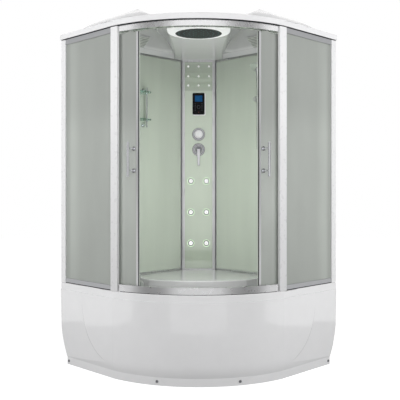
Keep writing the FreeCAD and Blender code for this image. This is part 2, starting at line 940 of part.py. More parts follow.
def top_rail():
    """Track open downwards, with a lip that the door wheels roll on."""
    inner, outer, wall = rail_inner_radius, rail_outer_radius, rail_wall
    section = (
        (inner, header_bottom),
        (inner + wall + rail_lip, header_bottom),
        (inner + wall + rail_lip, header_bottom + wall),
        (inner + wall, header_bottom + wall),
        (inner + wall, header_top - wall),
        (outer - wall, header_top - wall),
        (outer - wall, header_bottom),
        (outer, header_bottom),
        (outer, roof_bottom),
        (outer - rail_seal_width, roof_bottom),
        (outer - rail_seal_width, header_top),
        (inner, header_top),
    )
    end = rail_end_angle()
    return fused([swept(section, -end, end), rail_face(header_bottom, header_top)])


def bottom_rail():
    """Channel open upwards, which the door's guide shoes run in."""
    inner, outer, wall = rail_inner_radius, rail_outer_radius, rail_wall
    section = (
        (inner, tray_top),
        (outer, tray_top),
        (outer, sill_top),
        (outer - wall, sill_top),
        (outer - wall, tray_top + wall),
        (inner + wall, tray_top + wall),
        (inner + wall, sill_top),
        (inner, sill_top),
    )
    end = rail_end_angle()
    return fused([swept(section, -end, end), rail_face(tray_top, sill_top + rail_face_rise)])


# Posts, profiles and glass of the flat sides

def post():
    """Hollow right-hand post where the arc meets the flat side."""
    half = post_width / 2
    block = slab(-half, half, post_inset, post_inset + post_depth, tray_top, header_top)
    block = block.makeFillet(post_radius, upright_edges(block))
    bore = slab(-half + post_wall, half - post_wall, post_inset + post_wall,
                post_inset + post_depth - post_wall, tray_top, header_top)
    return placed(block.cut(bore), post_angle, kink_x, kink_y)


def front_posts():
    right = post()
    return Part.makeCompound([right, mirrored(right)])


def flat_span():
    """Start and end of the side panel along the flat, between post and wall profile."""
    start = post_width / 2 + joint_gap * 3
    end = flat_length - wall_profile_inset - wall_profile_width
    return start, end


def side_glass_slab():
    """Side glass in the flat side's own frame."""
    start, end = flat_span()
    foot = side_profile_foot
    return slab(start, end + slot_depth, side_glass_inset, side_glass_inset + side_glass,
                tray_top + foot, header_top - foot)


def side_panes():
    pane = on_flat(side_glass_slab())
    return Part.makeCompound([pane, mirrored(pane)])


def wall_profiles():
    """Profiles that hold the side glass at the walls."""
    _, start = flat_span()
    end = start + wall_profile_width
    block = slab(start, end, post_inset, post_inset + wall_profile_depth, tray_top, header_top)
    block = block.makeFillet(post_radius, upright_edges(block))
    hollow = slab(start + slot_depth + profile_wall, end - profile_wall, post_inset + profile_wall,
                  post_inset + wall_profile_depth - profile_wall, tray_top, header_top)
    slot = slab(start - overrun, start + slot_depth, side_glass_inset, side_glass_inset + side_glass,
                tray_top, header_top)
    profile = on_flat(block.cut(hollow).cut(slot))
    return Part.makeCompound([profile, mirrored(profile)])


def side_cross_profiles():
    """Sill and head profiles of the flat sides, with a foot under and over the glass."""
    start, end = flat_span()
    face_end = side_glass_inset - joint_gap / 2
    foot_end = side_glass_inset + side_glass
    sill_low = tray_top + side_sill_gap
    sill = slab(start, end, side_profile_inset, face_end, sill_low, tray_top + side_profile_height)
    sill = sill.fuse(slab(start, end, side_glass_inset, foot_end, tray_top, tray_top + side_profile_foot))
    sill = sill.fuse(slab(start, end, side_profile_inset, foot_end, sill_low, tray_top + side_profile_foot))
    head_low = header_top - side_profile_height
    head = slab(start, end, side_profile_inset, face_end, head_low, header_top)
    head = head.fuse(slab(start, end, side_profile_inset, foot_end, header_top - side_profile_foot, header_top))
    head = head.fuse(slab(start, end, side_glass_inset, foot_end, header_top - side_profile_foot, roof_bottom))
    pair = [on_flat(sill.removeSplitter()), on_flat(head.removeSplitter())]
    return Part.makeCompound(pair + [mirrored(piece) for piece in pair])


# Doors, drawn on the right where they stand open and mirrored for the left

def door_angles():
    """Leading and trailing angles of the open right door."""
    lead = kink_angle * door_open_share
    return lead, lead + kink_angle - door_end_angle


def door_glass_pane():
    lead, trail = door_angles()
    cover = arc_angle(door_seal_width + door_profile_width - door_glass_bite, door_radius)
    half = door_glass / 2
    return band(door_radius - half, door_radius + half, door_bottom, door_top, lead + cover, trail)


def door_profile():
    """Aluminium profile that grips the leading edge of the glass."""
    lead, _ = door_angles()
    start = lead + arc_angle(door_seal_width, door_radius)
    end = start + arc_angle(door_profile_width, door_radius)
    half = door_profile_depth / 2
    block = band(door_radius - half, door_radius + half, door_bottom, door_top, start, end)
    return block.cut(door_glass_pane())


def door_seal():
    """Dark magnetic seal on the leading edge."""
    lead, _ = door_angles()
    half = door_seal_depth / 2
    end = lead + arc_angle(door_seal_width, door_radius)
    return band(door_radius - half, door_radius + half, door_bottom, door_top, lead, end)


def handle():
    """Bar handle on two stands, with discs on both faces of the glass."""
    lead, _ = door_angles()
    outer = door_radius + door_glass / 2
    inner = door_radius - door_glass / 2
    low = handle_middle - handle_length / 2
    bar = rod(handle_bar_radius, handle_length, V(0, centre_y - handle_radius, low), up)
    bar = bar.makeFillet(handle_bar_radius / 3, [edge for edge in bar.Edges if edge.Closed])
    pieces = [bar]
    for side in (-1, 1):
        z = handle_middle + side * handle_stand_spacing / 2
        stand_length = handle_radius - outer
        pieces.append(rod(handle_stand_radius, stand_length, V(0, centre_y - outer, z), V(0, -1, 0)))
        outer_disc = rod(handle_disc_radius, handle_disc, V(0, centre_y - outer, z), V(0, -1, 0))
        inner_disc = rod(handle_disc_radius, handle_disc * 2, V(0, centre_y - inner, z), V(0, 1, 0))
        screw = rod(handle_stand_radius, outer - inner, V(0, centre_y - outer, z), V(0, 1, 0))
        pieces.extend([outer_disc, inner_disc, screw])
    return turned(fused(pieces), lead + arc_angle(handle_behind_edge, door_radius))


def door_with_holes():
    """Curved door glass, with the two holes of its handle."""
    return door_glass_pane().cut(handle())


def hanger_angles():
    """Where the two hangers of a door sit."""
    lead, trail = door_angles()
    return lead + hanger_inset_angle, trail - hanger_inset_angle


def wheel_height():
    """Height of the wheel axles above the floor."""
    return header_bottom + rail_wall + wheel_gap + wheel_radius


def wheel_radii():
    """Inner and outer radial faces of a top wheel."""
    inner = rail_inner_radius + rail_wall + (rail_lip - wheel_width) / 2
    return inner, inner + wheel_width


def hanger():
    """Top hanger at the front centre: cheek behind the glass, stem into the rail and the wheel's axle."""
    half = door_glass / 2
    cheek_angle = arc_angle(hanger_width / 2, door_radius)
    stem_angle = arc_angle(hanger_stem_width / 2, door_radius)
    low = door_top - hanger_grip
    collar_top = door_top + door_top_gap / 2
    inner = band(door_radius - half - hanger_cheek, door_radius - half, low, collar_top, -cheek_angle, cheek_angle)
    cap = band(door_radius - half, door_radius + half, door_top, collar_top, -cheek_angle, cheek_angle)
    stem_in = door_radius + hanger_stem_offset - hanger_stem / 2
    stem_top = wheel_height() + hanger_stem_width / 3
    stem = band(stem_in, stem_in + hanger_stem, door_top, stem_top, -stem_angle, stem_angle)
    wheel_in, wheel_out = wheel_radii()
    axle_start = V(0, centre_y - stem_in - hanger_stem / 2, wheel_height())
    axle_length = stem_in + hanger_stem / 2 - wheel_in + wheel_gap
    axle = rod(axle_radius, axle_length, axle_start, V(0, 1, 0))
    head = rod(axle_head_radius, axle_head, V(0, centre_y - wheel_in + wheel_gap, wheel_height()), V(0, 1, 0))
    return fused([cap, inner, stem, axle, head])


def guide_shoe():
    """Bottom guide at the front centre: cheeks on the glass and a shoe in the bottom rail."""
    half = door_glass / 2
    cheek_angle = arc_angle(shoe_width / 2, door_radius)
    low = door_bottom - door_bottom_gap / 2
    high = door_bottom + shoe_grip
    outer = band(door_radius + half, door_radius + half + hanger_cheek, low, high, -cheek_angle, cheek_angle)
    inner = band(door_radius - half - hanger_cheek, door_radius - half, low, high, -cheek_angle, cheek_angle)
    foot = band(door_radius - half, door_radius + half, low, door_bottom, -cheek_angle, cheek_angle)
    shoe_low = tray_top + rail_wall + shoe_floor_gap
    middle = (rail_inner_radius + rail_outer_radius) / 2
    shoe = band(middle - shoe_depth / 2, middle + shoe_depth / 2, shoe_low, shoe_low + shoe_height,
                -cheek_angle, cheek_angle)
    stem_angle = arc_angle(hanger_stem_width / 2, door_radius)
    stem = band(door_radius - hanger_stem / 2, door_radius + hanger_stem / 2, shoe_low, door_bottom,
                -stem_angle, stem_angle)
    return fused([foot, outer, inner, stem, shoe])


def door_hangers():
    """The two top hangers and two guide shoes of the right door."""
    pieces = []
    for angle in hanger_angles():
        pieces.append(turned(hanger(), angle))
        pieces.append(turned(guide_shoe(), angle))
    return Part.makeCompound(pieces)


def wheel(angle):
    """Top wheel on its axle, with a shallow dish in its faces."""
    wheel_in, wheel_out = wheel_radii()
    z = wheel_height()
    disc = rod(wheel_radius, wheel_width, V(0, centre_y - wheel_out, z), V(0, 1, 0))
    bore = rod(wheel_bore, wheel_width + overrun, V(0, centre_y - wheel_out - overrun / 2, z), V(0, 1, 0))
    return turned(disc.cut(bore), angle)


# Back walls

def wall_panel_span():
    """Start and end of a back panel along the wall, from the flat side to the column."""
    level = wall_glass_inset * root_two
    edge_x = (column_glass_width + column_frame_width * 2) / 2
    flat_level = kink_x - kink_y
    wall_level = corner_y - level
    end = (flat_level - (edge_x - (wall_level - edge_x))) / root_two - wall_panel_joint
    return wall_panel_start, end


def wall_pane():
    """Back glass in the wall's own frame."""
    start, end = wall_panel_span()
    rim = wall_frame_width - wall_frame_bite
    return slab(start + rim, end - rim, wall_glass_inset - wall_glass, wall_glass_inset,
                tray_top + rim, roof_bottom - rim)


def back_panes():
    pane = on_wall(wall_pane())
    return Part.makeCompound([pane, mirrored(pane)])


def back_wall_frames():
    """Aluminium frames round the back glasses."""
    start, end = wall_panel_span()
    outer_y = wall_glass_inset + wall_frame_proud
    inner_y = outer_y - wall_frame_depth
    ring = slab(start, end, inner_y, outer_y, tray_top, roof_bottom)
    width = wall_frame_width
    ring = ring.cut(slab(start + width, end - width, inner_y - overrun, outer_y + overrun,
                         tray_top + width, roof_bottom - width))
    ring = on_wall(ring.cut(wall_pane()))
    return Part.makeCompound([ring, mirrored(ring)])


def wall_clips():
    """Small dark clips that hold the back frames on the tray."""
    foot = V(clip_from_flat - clip_length / 2, wall_glass_inset + wall_frame_proud, tray_top)
    clip = Part.makeBox(clip_length, clip_width, clip_height, foot)
    top = [edge for edge in edges_at(clip, tray_top + clip_height)]
    clip = on_wall(clip.makeFillet(clip_height / 2, top))
    return Part.makeCompound([clip, mirrored(clip)])


# Column across the corner

def column_pane_block():
    """Plain column glass, before its holes are cut."""
    rim = column_frame_bite
    half = column_glass_width / 2 + rim
    low = tray_top + column_base_height - rim
    high = roof_bottom - wall_frame_width + rim
    return slab(-half, half, column_face_y, column_face_y + column_glass, low, high)


def column_frame():
    """Aluminium surround of the column glass."""
    half = column_glass_width / 2
    outer = half + column_frame_width
    front = column_face_y - column_frame_proud
    ring = slab(-outer, outer, front, front + column_frame_depth, tray_top, roof_bottom)
    ring = ring.cut(slab(-half, half, front - overrun, front + column_frame_depth + overrun,
                         tray_top + column_base_height, roof_bottom - wall_frame_width))
    return ring.cut(column_pane_block())


def nozzle_places():
    """Nine nozzles in the neck of the column."""
    return [V(x, column_face_y, z) for z in nozzle_rows for x in (-nozzle_pitch, 0, nozzle_pitch)]


def jet_places():
    """Six back jets, left to right and top to bottom."""
    return [(x, z) for z in jet_rows for x in (-jet_x, jet_x)]


def column_pane():
    """Column glass with a hole for each fitting."""
    pane = column_pane_block()
    back = V(0, 1, 0)
    reach = column_glass + overrun * 2
    step = V(0, -overrun, 0)
    for place in nozzle_places():
        pane = pane.cut(rod(nozzle_tail_radius, reach, place + step, back))
    for x, z in jet_places():
        pane = pane.cut(rod(jet_body_radius, reach, V(x, column_face_y, z) + step, back))
    for z in (diverter_height, mixer_height):
        pane = pane.cut(rod(body_radius, reach, V(0, column_face_y, z) + step, back))
    return pane.cut(panel_body_block())


def neck_nozzles():
    """Small fixed nozzles with domed faces."""
    nozzles = []
    for place in nozzle_places():
        head = rod(nozzle_radius, nozzle_proud, place, V(0, -1, 0))
        front = column_face_y - nozzle_proud
        rim = [edge for edge in head.Edges if edge.Closed and abs(edge.BoundBox.YMin - front) < nozzle_proud / 4]
        head = head.makeFillet(nozzle_proud / 2, rim)
        nozzles.append(head.fuse(rod(nozzle_tail_radius, nozzle_tail, place, V(0, 1, 0))))
    return Part.makeCompound(nozzles)


def panel_body_block():
    """Part of the control panel that passes through the column glass."""
    rim = panel_radius
    half = panel_width / 2 - rim
    height = panel_height / 2 - rim
    return slab(-half, half, column_face_y, column_face_y + panel_depth - panel_proud,
                panel_middle - height, panel_middle + height)


def screen_block(recess):
    """The screen's seat in the face of the control panel."""
    front = column_face_y - panel_proud + recess
    top = panel_middle + panel_height / 2 - screen_below_top
    return slab(-screen_width / 2, screen_width / 2, front, front + screen_thickness, top - screen_height, top)


def key_places():
    """Centres of the keys: two columns, a ring in the middle and one key under it."""
    top = panel_middle + panel_height / 2 - screen_below_top - screen_height - key_pitch_z
    places = [(side * key_pitch_x, top - row * key_pitch_z) for row in range(key_rows) for side in (-1, 1)]
    return places + [(0, top - key_pitch_z * key_rows)], (0, top - key_pitch_z * (key_rows - 1) / 2)


def control_panel():
    """Housing of the control panel with its raised membrane keys."""
    half = panel_width / 2
    front = column_face_y - panel_proud
    body = slab(-half, half, front, column_face_y, panel_middle - panel_height / 2, panel_middle + panel_height / 2)
    corners = [edge for edge in body.Edges
               if abs(edge.BoundBox.YMax - edge.BoundBox.YMin - panel_proud) < level_tolerance]
    body = body.makeFillet(panel_radius, corners)
    rim = [edge for edge in body.Edges if edge.BoundBox.YMax < front + level_tolerance]
    body = body.makeChamfer(panel_proud / 6, rim)
    body = body.fuse(panel_body_block())
    body = body.cut(screen_block(0)).cut(screen_block(screen_recess))
    keys, ring = key_places()
    for x, z in keys:
        body = body.fuse(rod(key_radius, key_proud * 2, V(x, front + key_proud, z), V(0, -1, 0)))
    dial = rod(key_ring_radius, key_proud * 2, V(ring[0], front + key_proud, ring[1]), V(0, -1, 0))
    hub = rod(key_ring_radius - key_radius, key_proud, V(ring[0], front, ring[1]), V(0, -1, 0))
    return body.fuse(dial.cut(hub)).removeSplitter()


def control_screen():
    """Screen set into the control panel."""
    return screen_block(screen_recess)


# Mixer and diverter on the column

def mixer_body():
    """Brass body behind the column with both spindles and the two supply inlets."""
    back = V(0, 1, 0)
    start = column_face_y + column_glass + body_clearance
    end = start + body_radius * 2
    half = body_radius + body_clearance
    stem = slab(-half, half, start, end, mixer_height, diverter_height + half)
    reach = inlet_spacing / 2 + inlet_radius * 2
    rise = body_radius * cross_height_share
    cross = slab(-reach, reach, start, end, mixer_height - half, mixer_height + rise)
    block = fused([stem, cross])
    body = block.makeFillet(body_round, [edge for edge in block.Edges if edge.Length > 0 and
                                         edge.BoundBox.YMax - edge.BoundBox.YMin > body_radius])
    pieces = [body]
    for z in (diverter_height, mixer_height):
        pieces.append(rod(body_radius, start - column_face_y, V(0, column_face_y, z), back))
        pieces.append(rod(spindle_radius, rose_thickness + rose_step, V(0, column_face_y, z), back * -1))
    for side in (-1, 1):
        pieces.append(rod(inlet_radius, inlet_length, V(side * inlet_spacing / 2, end, mixer_height), back))
    whole = pieces[0]
    for extra in pieces[1:]:
        whole = whole.fuse(extra)
    return whole


def rose(z):
    """Round cover plate with a stepped edge and a hole for the spindle."""
    front = V(0, -1, 0)
    base = V(0, column_face_y, z)
    disc = rod(rose_radius, rose_thickness - rose_step, base, front)
    rim_y = column_face_y - rose_thickness + rose_step
    rim = [edge for edge in disc.Edges if edge.Closed and abs(edge.BoundBox.YMin - rim_y) < rose_step / 4]
    disc = disc.makeFillet(rose_step, rim)
    raised = rod(rose_radius * rose_step_share, rose_thickness, base, front)
    hole = rod(rose_bore_radius, rose_thickness + overrun, base - front * (overrun / 2), front)
    return fused([disc, raised]).cut(hole)


def mixer_roses():
    return Part.makeCompound([rose(diverter_height), rose(mixer_height)])


def fitting_front():
    """Where the turning fittings start, just in front of the spindles."""
    return column_face_y - rose_thickness - rose_step - knob_gap


def diverter_knob():
    """Fluted knob with a skirt, on the diverter's spindle."""
    front = V(0, -1, 0)
    base = V(0, fitting_front(), diverter_height)
    skirt = rod(knob_radius, knob_skirt, base, front)
    grip = cone(knob_radius * knob_grip_share, knob_radius * knob_end_share, knob_length - knob_skirt,
                base + front * knob_skirt, front)
    end = fitting_front() - knob_length
    rim = [edge for edge in grip.Edges if edge.Closed and abs(edge.BoundBox.YMin - end) < knob_skirt / 4]
    grip = grip.makeFillet(knob_skirt / 2, rim)
    knob = skirt.fuse(grip)
    for index in range(knob_flutes):
        angle = math.radians(index * full_turn / knob_flutes)
        reach = knob_radius * knob_flute_share
        place = V(reach * math.cos(angle), fitting_front() - knob_skirt, diverter_height + reach * math.sin(angle))
        knob = knob.cut(rod(knob_flute_radius, knob_length, place, front))
    return knob


def lever_axis():
    """Middle of the lever's hinge pin."""
    return V(0, fitting_front() - cap_dome_length * lever_pin_depth_share, mixer_height)


def mixer_cap():
    """Cap of the mixer cartridge: it turns for temperature and carries the lever's pin."""
    front = V(0, -1, 0)
    base = V(0, fitting_front(), mixer_height)
    dome = rod(cap_dome_radius, cap_dome_length, base, front)
    end = fitting_front() - cap_dome_length
    rim = [edge for edge in dome.Edges if edge.Closed and abs(edge.BoundBox.YMin - end) < cap_dome_length / 8]
    dome = dome.makeFillet(cap_dome_length / 4, rim)
    axis = lever_axis()
    half = lever_width / 2 + lever_fork_gap
    slot_top = mixer_height + lever_thickness * lever_slot_share
    slot = slab(-half, half, end - overrun, axis.y + lever_thickness * lever_room_share,
                mixer_height - cap_dome_radius - overrun, slot_top)
    dome = dome.cut(slot)
    pin = rod(lever_pin_radius, lever_width + lever_fork_gap * 2, V(-half, axis.y, axis.z), V(1, 0, 0))
    return dome.fuse(pin)


def mixer_lever():
    """Flat tapered lever that hangs down from the cap and lifts forward."""
    axis = lever_axis()
    half = lever_width / 2
    hub = rod(lever_thickness, lever_width, V(-half, axis.y, axis.z), V(1, 0, 0))
    top = axis.z
    foot = axis.z - lever_length
    outline = [V(-half, axis.y - lever_thickness, top), V(half, axis.y - lever_thickness, top),
               V(half * lever_end_share, axis.y - lever_thickness, foot),
               V(-half * lever_end_share, axis.y - lever_thickness, foot)]
    bar = Part.Face(loop(outline)).extrude(V(0, lever_thickness, 0))
    long_edges = [edge for edge in bar.Edges if edge.BoundBox.ZMax - edge.BoundBox.ZMin > lever_length / 2]
    bar = bar.makeFillet(lever_thickness / 4, long_edges)
    lever = hub.fuse(bar)
    hole = rod(lever_pin_radius + lever_pin_gap, lever_width + overrun, V(-half - overrun / 2, axis.y, axis.z),
               V(1, 0, 0))
    return lever.cut(hole)


# Back jets

def jet_centre(x, z):
    """Centre of a jet's ball, at the face of the column."""
    return V(x, column_face_y, z)


def jet_housings():
    """Housings of the back jets: flange in front, body behind, spherical seat inside."""
    housings = []
    for x, z in jet_places():
        centre = jet_centre(x, z)
        flange = rod(jet_flange_radius, jet_flange, centre, V(0, -1, 0))
        front = column_face_y - jet_flange
        rim = [edge for edge in flange.Edges if edge.Closed and abs(edge.BoundBox.YMin - front) < jet_flange / 4]
        flange = flange.makeFillet(jet_flange / 2, rim)
        body = rod(jet_body_radius, jet_body_length, centre, V(0, 1, 0))
        tail = rod(jet_tail_radius, jet_tail, centre + V(0, jet_body_length, 0), V(0, 1, 0))
        housing = flange.fuse(body).fuse(tail)
        seat = Part.makeSphere(jet_ball_radius + jet_ball_gap, centre)
        housings.append(housing.cut(seat))
    return Part.makeCompound(housings)


def jet(x, z):
    """Swivelling ball with a flat face and a nozzle hole."""
    centre = jet_centre(x, z)
    ball = Part.makeSphere(jet_ball_radius, centre)
    reach = jet_ball_radius * 2
    face = jet_ball_radius * jet_face_share
    rear = jet_ball_radius * jet_back_share
    ball = ball.cut(slab(x - reach, x + reach, centre.y - reach, centre.y - face, z - reach, z + reach))
    ball = ball.cut(slab(x - reach, x + reach, centre.y + rear, centre.y + reach, z - reach, z + reach))
    return ball.cut(rod(jet_hole_radius, reach * 2, centre - V(0, reach, 0), V(0, 1, 0)))


# Shelves, drawn on the right wall and mirrored to the left

def shelf_rod_places():
    """Distance of each rod from the flat side."""
    half = shelf_rod_spacing / 2
    return [shelf_from_flat - half, shelf_from_flat + half]


def shelf_rack():
    """Two upright rods on wall feet, with a collar under each shelf."""
    rods = []
    depth = wall_glass_inset + shelf_rod_depth
    low = min(shelf_rows) - shelf_rod_below
    high = max(shelf_rows) + shelf_rod_above
    for x in shelf_rod_places():
        pieces = [rod(shelf_rod_radius, high - low, V(x, depth, low), up)]
        for z in (low + shelf_foot_inset, high - shelf_foot_inset):
            wall_point = V(x, wall_glass_inset, z)
            pieces.append(rod(shelf_foot_radius, shelf_foot, wall_point, V(0, 1, 0)))
            pieces.append(rod(shelf_rod_radius * wall_stub_share, shelf_rod_depth, wall_point, V(0, 1, 0)))
        for z in shelf_rows:
            pieces.append(rod(shelf_collar_radius, shelf_collar, V(x, depth, z - shelf_collar), up))
        rods.append(mirrored(on_wall(fused(pieces))))
    return Part.makeCompound(rods)


def shelf_plates():
    """Two glass shelves with rounded front corners, threaded on the rods."""
    plates = []
    clearance = shelf_foot / 4
    for z in shelf_rows:
        low = V(shelf_from_flat - shelf_width / 2, wall_glass_inset + clearance, z)
        plate = Part.makeBox(shelf_width, shelf_depth - clearance, shelf_glass, low)
        far = [edge for edge in upright_edges(plate) if edge.BoundBox.YMax > wall_glass_inset + shelf_depth / 2]
        plate = plate.makeFillet(shelf_depth * shelf_corner_share, far)
        for x in shelf_rod_places():
            hole = rod(shelf_rod_radius, shelf_glass * 2, V(x, wall_glass_inset + shelf_rod_depth,
                                                            z - shelf_glass / 2), up)
            plate = plate.cut(hole)
        plates.append(mirrored(on_wall(plate)))
    return Part.makeCompound(plates)


# Slide bar and hand shower, drawn in the right wall's own frame

def bar_axis(z):
    return V(bar_from_flat, wall_glass_inset + bar_depth, z)


def slide_bar():
    """Bar on two wall feet; the lower one is also the outlet for the hand shower's hose."""
    pieces = [rod(bar_radius, bar_high - bar_low, bar_axis(bar_low), up)]
    for z in (bar_low + bar_foot_inset, bar_high - bar_foot_inset):
        wall_point = V(bar_from_flat, wall_glass_inset, z)
        pieces.append(rod(bar_foot_radius, bar_foot, wall_point, V(0, 1, 0)))
        pieces.append(rod(bar_radius * wall_stub_share, bar_depth, wall_point, V(0, 1, 0)))
    pieces.append(rod(outlet_radius, outlet_length, bar_axis(bar_low - outlet_length), up))
    return on_wall(fused(pieces))


def shower_slider():
    """Clamp that slides on the bar, with its knob and the holder's pin."""
    low = slider_height - slider_length / 2
    clamp = rod(slider_radius, slider_length, bar_axis(low), up)
    knob = rod(slider_knob_radius, slider_radius + slider_knob, bar_axis(slider_height), V(0, 1, 0))
    end = wall_glass_inset + bar_depth + slider_radius + slider_knob
    rim = [edge for edge in knob.Edges if edge.Closed and edge.BoundBox.YMin > end - slider_neck]
    knob = knob.makeFillet(slider_knob_radius / 4, rim)
    pin = rod(holder_pin_radius, slider_radius + slider_neck + holder_length / 2, bar_axis(slider_height), V(-1, 0, 0))
    body = clamp.fuse(knob).fuse(pin)
    bore = rod(bar_radius + slider_gap, slider_length + overrun * 2, bar_axis(low - overrun), up)
    return on_wall(body.cut(bore).removeSplitter())


def holder_pin():
    """Middle of the holder's boss on the slider's pin, in the wall's frame."""
    return bar_axis(slider_height) - V(slider_radius + slider_neck + holder_length / 4, 0, 0)


def cradle_axis():
    """Foot of the hand shower's seat and its direction, leaning into the cabin."""
    lean = math.radians(holder_lean)
    direction = V(0, math.sin(lean), math.cos(lean))
    middle = holder_pin() + V(0, holder_reach, 0)
    return middle - direction * (holder_length / 2), direction


def shower_holder():
    """Tilting holder: a boss on the slider's pin and a conical cradle."""
    pin = holder_pin()
    half = holder_length / 4 - holder_gap
    boss = rod(holder_pin_radius * 2, half * 2, pin - V(half, 0, 0), V(1, 0, 0))
    foot, direction = cradle_axis()
    cradle = cone(holder_low_radius, holder_high_radius, holder_length, foot, direction)
    arm = slab(pin.x - half, pin.x + half, pin.y, pin.y + holder_reach, pin.z - half, pin.z + half)
    body = boss.fuse(arm).fuse(cradle)
    body = body.cut(cone(holder_bore_low, holder_bore_high, holder_length, foot, direction))
    body = body.cut(rod(holder_bore_low, overrun, foot - direction * overrun, direction))
    body = body.cut(rod(holder_bore_high, overrun, foot + direction * holder_length, direction))
    body = body.cut(rod(holder_pin_radius + lever_pin_gap, half * 2 + overrun, pin - V(half + overrun / 2, 0, 0),
                        V(1, 0, 0)))
    return on_wall(body.removeSplitter())


def hand_shower():
    """Hand shower standing in the holder: cone, handle and round head."""
    foot, direction = cradle_axis()
    gap = shower_cone_gap
    plug = cone(holder_bore_low - gap, holder_bore_high - gap, holder_length, foot, direction)
    tail = rod(holder_bore_low - gap, overrun / 2, foot - direction * (overrun / 2), direction)
    grip_start = foot + direction * holder_length
    grip = cone(holder_bore_high - gap, shower_handle_radius, shower_handle_length, grip_start, direction)
    neck = grip_start + direction * shower_handle_length
    lean = math.radians(shower_head_lean)
    head_axis = V(0, math.cos(lean), -math.sin(lean))
    head_base = neck - head_axis * (shower_head_thickness / 2)
    head = cone(shower_head_radius * shower_head_back_share, shower_head_radius, shower_head_thickness,
                head_base, head_axis)
    return on_wall(fused([plug, tail, grip, head]))


# Roof

def dome_base():
    """Base of the right dome as plan points, with the channel on its inner side."""
    kink, tip, _ = plan_corners(dome_front_inset, dome_wall_inset)
    radius = front_radius - dome_front_inset
    inner = channel_half_width
    inner_point = (inner, front_y + dome_nose_behind)
    nose = (dome_nose_x, centre_y - math.sqrt(radius ** 2 - dome_nose_x ** 2))
    rear_point = (inner, corner_y - dome_wall_inset * root_two - inner)
    return [inner_point, nose, kink, tip, rear_point]


def dome_section(share, z, inset):
    """Rounded outline of the dome at one height."""
    peak = (dome_peak_x, front_y + dome_peak_behind)
    points = [(peak[0] + (x - peak[0]) * share, peak[1] + (y - peak[1]) * share) for x, y in dome_base()]
    block = prism(points, z, z + roof_wall)
    block = block.makeFillet(dome_corner_radius * share, upright_edges(block))
    foot = min(block.Faces, key=lambda face: face.BoundBox.ZMax)
    wire = foot.OuterWire
    return wire.makeOffset2D(-inset * share) if inset else wire


def dome_body(inset, drop):
    """The dome as a solid, drawn in by a wall thickness and lowered by it."""
    base_z = roof_bottom + roof_rim_height - drop
    rise = total_height - roof_bottom - roof_rim_height
    wires = [dome_section(base_share, base_z + rise * height_share, inset)
             for height_share, base_share in dome_section_shares]
    return Part.makeLoft(wires, True, False)


def on_slope(shape):
    """A plate drawn flat, put on the pad in the dome's slope towards the right wall."""
    copy = shape.copy()
    copy.rotate(V(0, 0, 0), V(1, 0, 0), pad_slope)
    copy.translate(V(pad_from_flat, dome_wall_inset + roof_wall * 2, roof_bottom + roof_rim_height - roof_wall))
    return on_wall(copy)


def channel():
    """Ceiling channel between the domes, sweeping down to the top of the column."""
    top = roof_bottom + roof_rim_height
    under = top - roof_wall
    start = front_y + channel_front_behind
    low = column_face_y - channel_land
    rear = back_y - roof_ring_wall
    half = channel_half_width
    bow = V(-half, low + (start - low) * channel_bow_share,
            roof_bottom + (under - roof_bottom) * channel_bow_height_share)
    sweep = Part.Wire([
        Part.LineSegment(V(-half, start, top), V(-half, rear, top)).toShape(),
        Part.LineSegment(V(-half, rear, top), V(-half, rear, roof_bottom)).toShape(),
        Part.LineSegment(V(-half, rear, roof_bottom), V(-half, low, roof_bottom)).toShape(),
        Part.Arc(V(-half, low, roof_bottom), bow, V(-half, start, under)).toShape(),
        Part.LineSegment(V(-half, start, under), V(-half, start, top)).toShape(),
    ])
    body = Part.Face(sweep).extrude(V(half * 2, 0, 0))
    waist = half - channel_waist
    middle = (start + low) / 2
    plan = Part.Wire([
        arc((half, start), (waist, middle), (half, low), 0),
        line((half, low), (half, rear), 0),
        line((half, rear), (-half, rear), 0),
        line((-half, rear), (-half, low), 0),
        arc((-half, low), (-waist, middle), (-half, start), 0),
        line((-half, start), (half, start), 0),
    ])
    body = body.common(Part.Face(plan).extrude(up * total_height))
    return body.common(plan_block(0, 0, roof_bottom, top))


def ring_opening():
    """Room inside the roof's ring, its sides leaning in along the walls."""
    top = roof_bottom + roof_rim_height - roof_wall
    foot = plan_face(roof_ring_front, roof_ring_wall, roof_bottom).OuterWire
    head = plan_face(roof_ring_front, roof_ring_wall + roof_ring_slope, top).OuterWire
    return Part.makeLoft([foot, head], True, True)


def roof():
    """Roof moulding: deep rim, flat middle, two hollow domes and the channel between them."""
    top = roof_bottom + roof_rim_height
    shell = plan_block(0, 0, roof_bottom, top)
    shell = shell.makeFillet(ledge_radius, edges_at(shell, top))
    shell = shell.cut(ring_opening())
    shell = shell.fuse(channel())
    outside = dome_body(0, 0)
    pad = on_slope(slab(-pad_width / 2, pad_width / 2, -roof_wall, pad_length, 0, pad_width))
    hollow = dome_body(roof_wall, roof_wall).cut(pad)
    shell = shell.fuse(outside).fuse(mirrored(outside))
    shell = shell.cut(hollow).cut(mirrored(hollow))
    shell = shell.cut(on_slope(unit_can(fan_radius, fan_height + overrun)))
    return shell.cut(mirrored(on_slope(unit_can(speaker_radius, speaker_height + overrun))))


def unit_can(radius, height):
    """Round body of a roof unit, on the pad's own plane."""
    return rod(radius, height, V(0, pad_length / 2, 0), up)


def grille_plate():
    """Slotted cover plate under a roof unit."""
    half = pad_width / 2 - roof_wall
    low = roof_wall
    high = pad_length - roof_wall
    plate = slab(-half, half, low, high, -grille_thickness, 0)
    plate = plate.makeFillet(grille_slot * 2, [edge for edge in plate.Edges
                                               if abs(edge.BoundBox.ZMax - edge.BoundBox.ZMin
                                                      - grille_thickness) < level_tolerance])
    pitch = grille_slot * 2
    count = int((half * 2 - pitch) / pitch)
    for index in range(count):
        x = (index - (count - 1) / 2) * pitch
        plate = plate.cut(slab(x - grille_slot / 2, x + grille_slot / 2, low + pitch, high - pitch,
                               -grille_thickness - overrun, -grille_thickness / 2))
    return plate


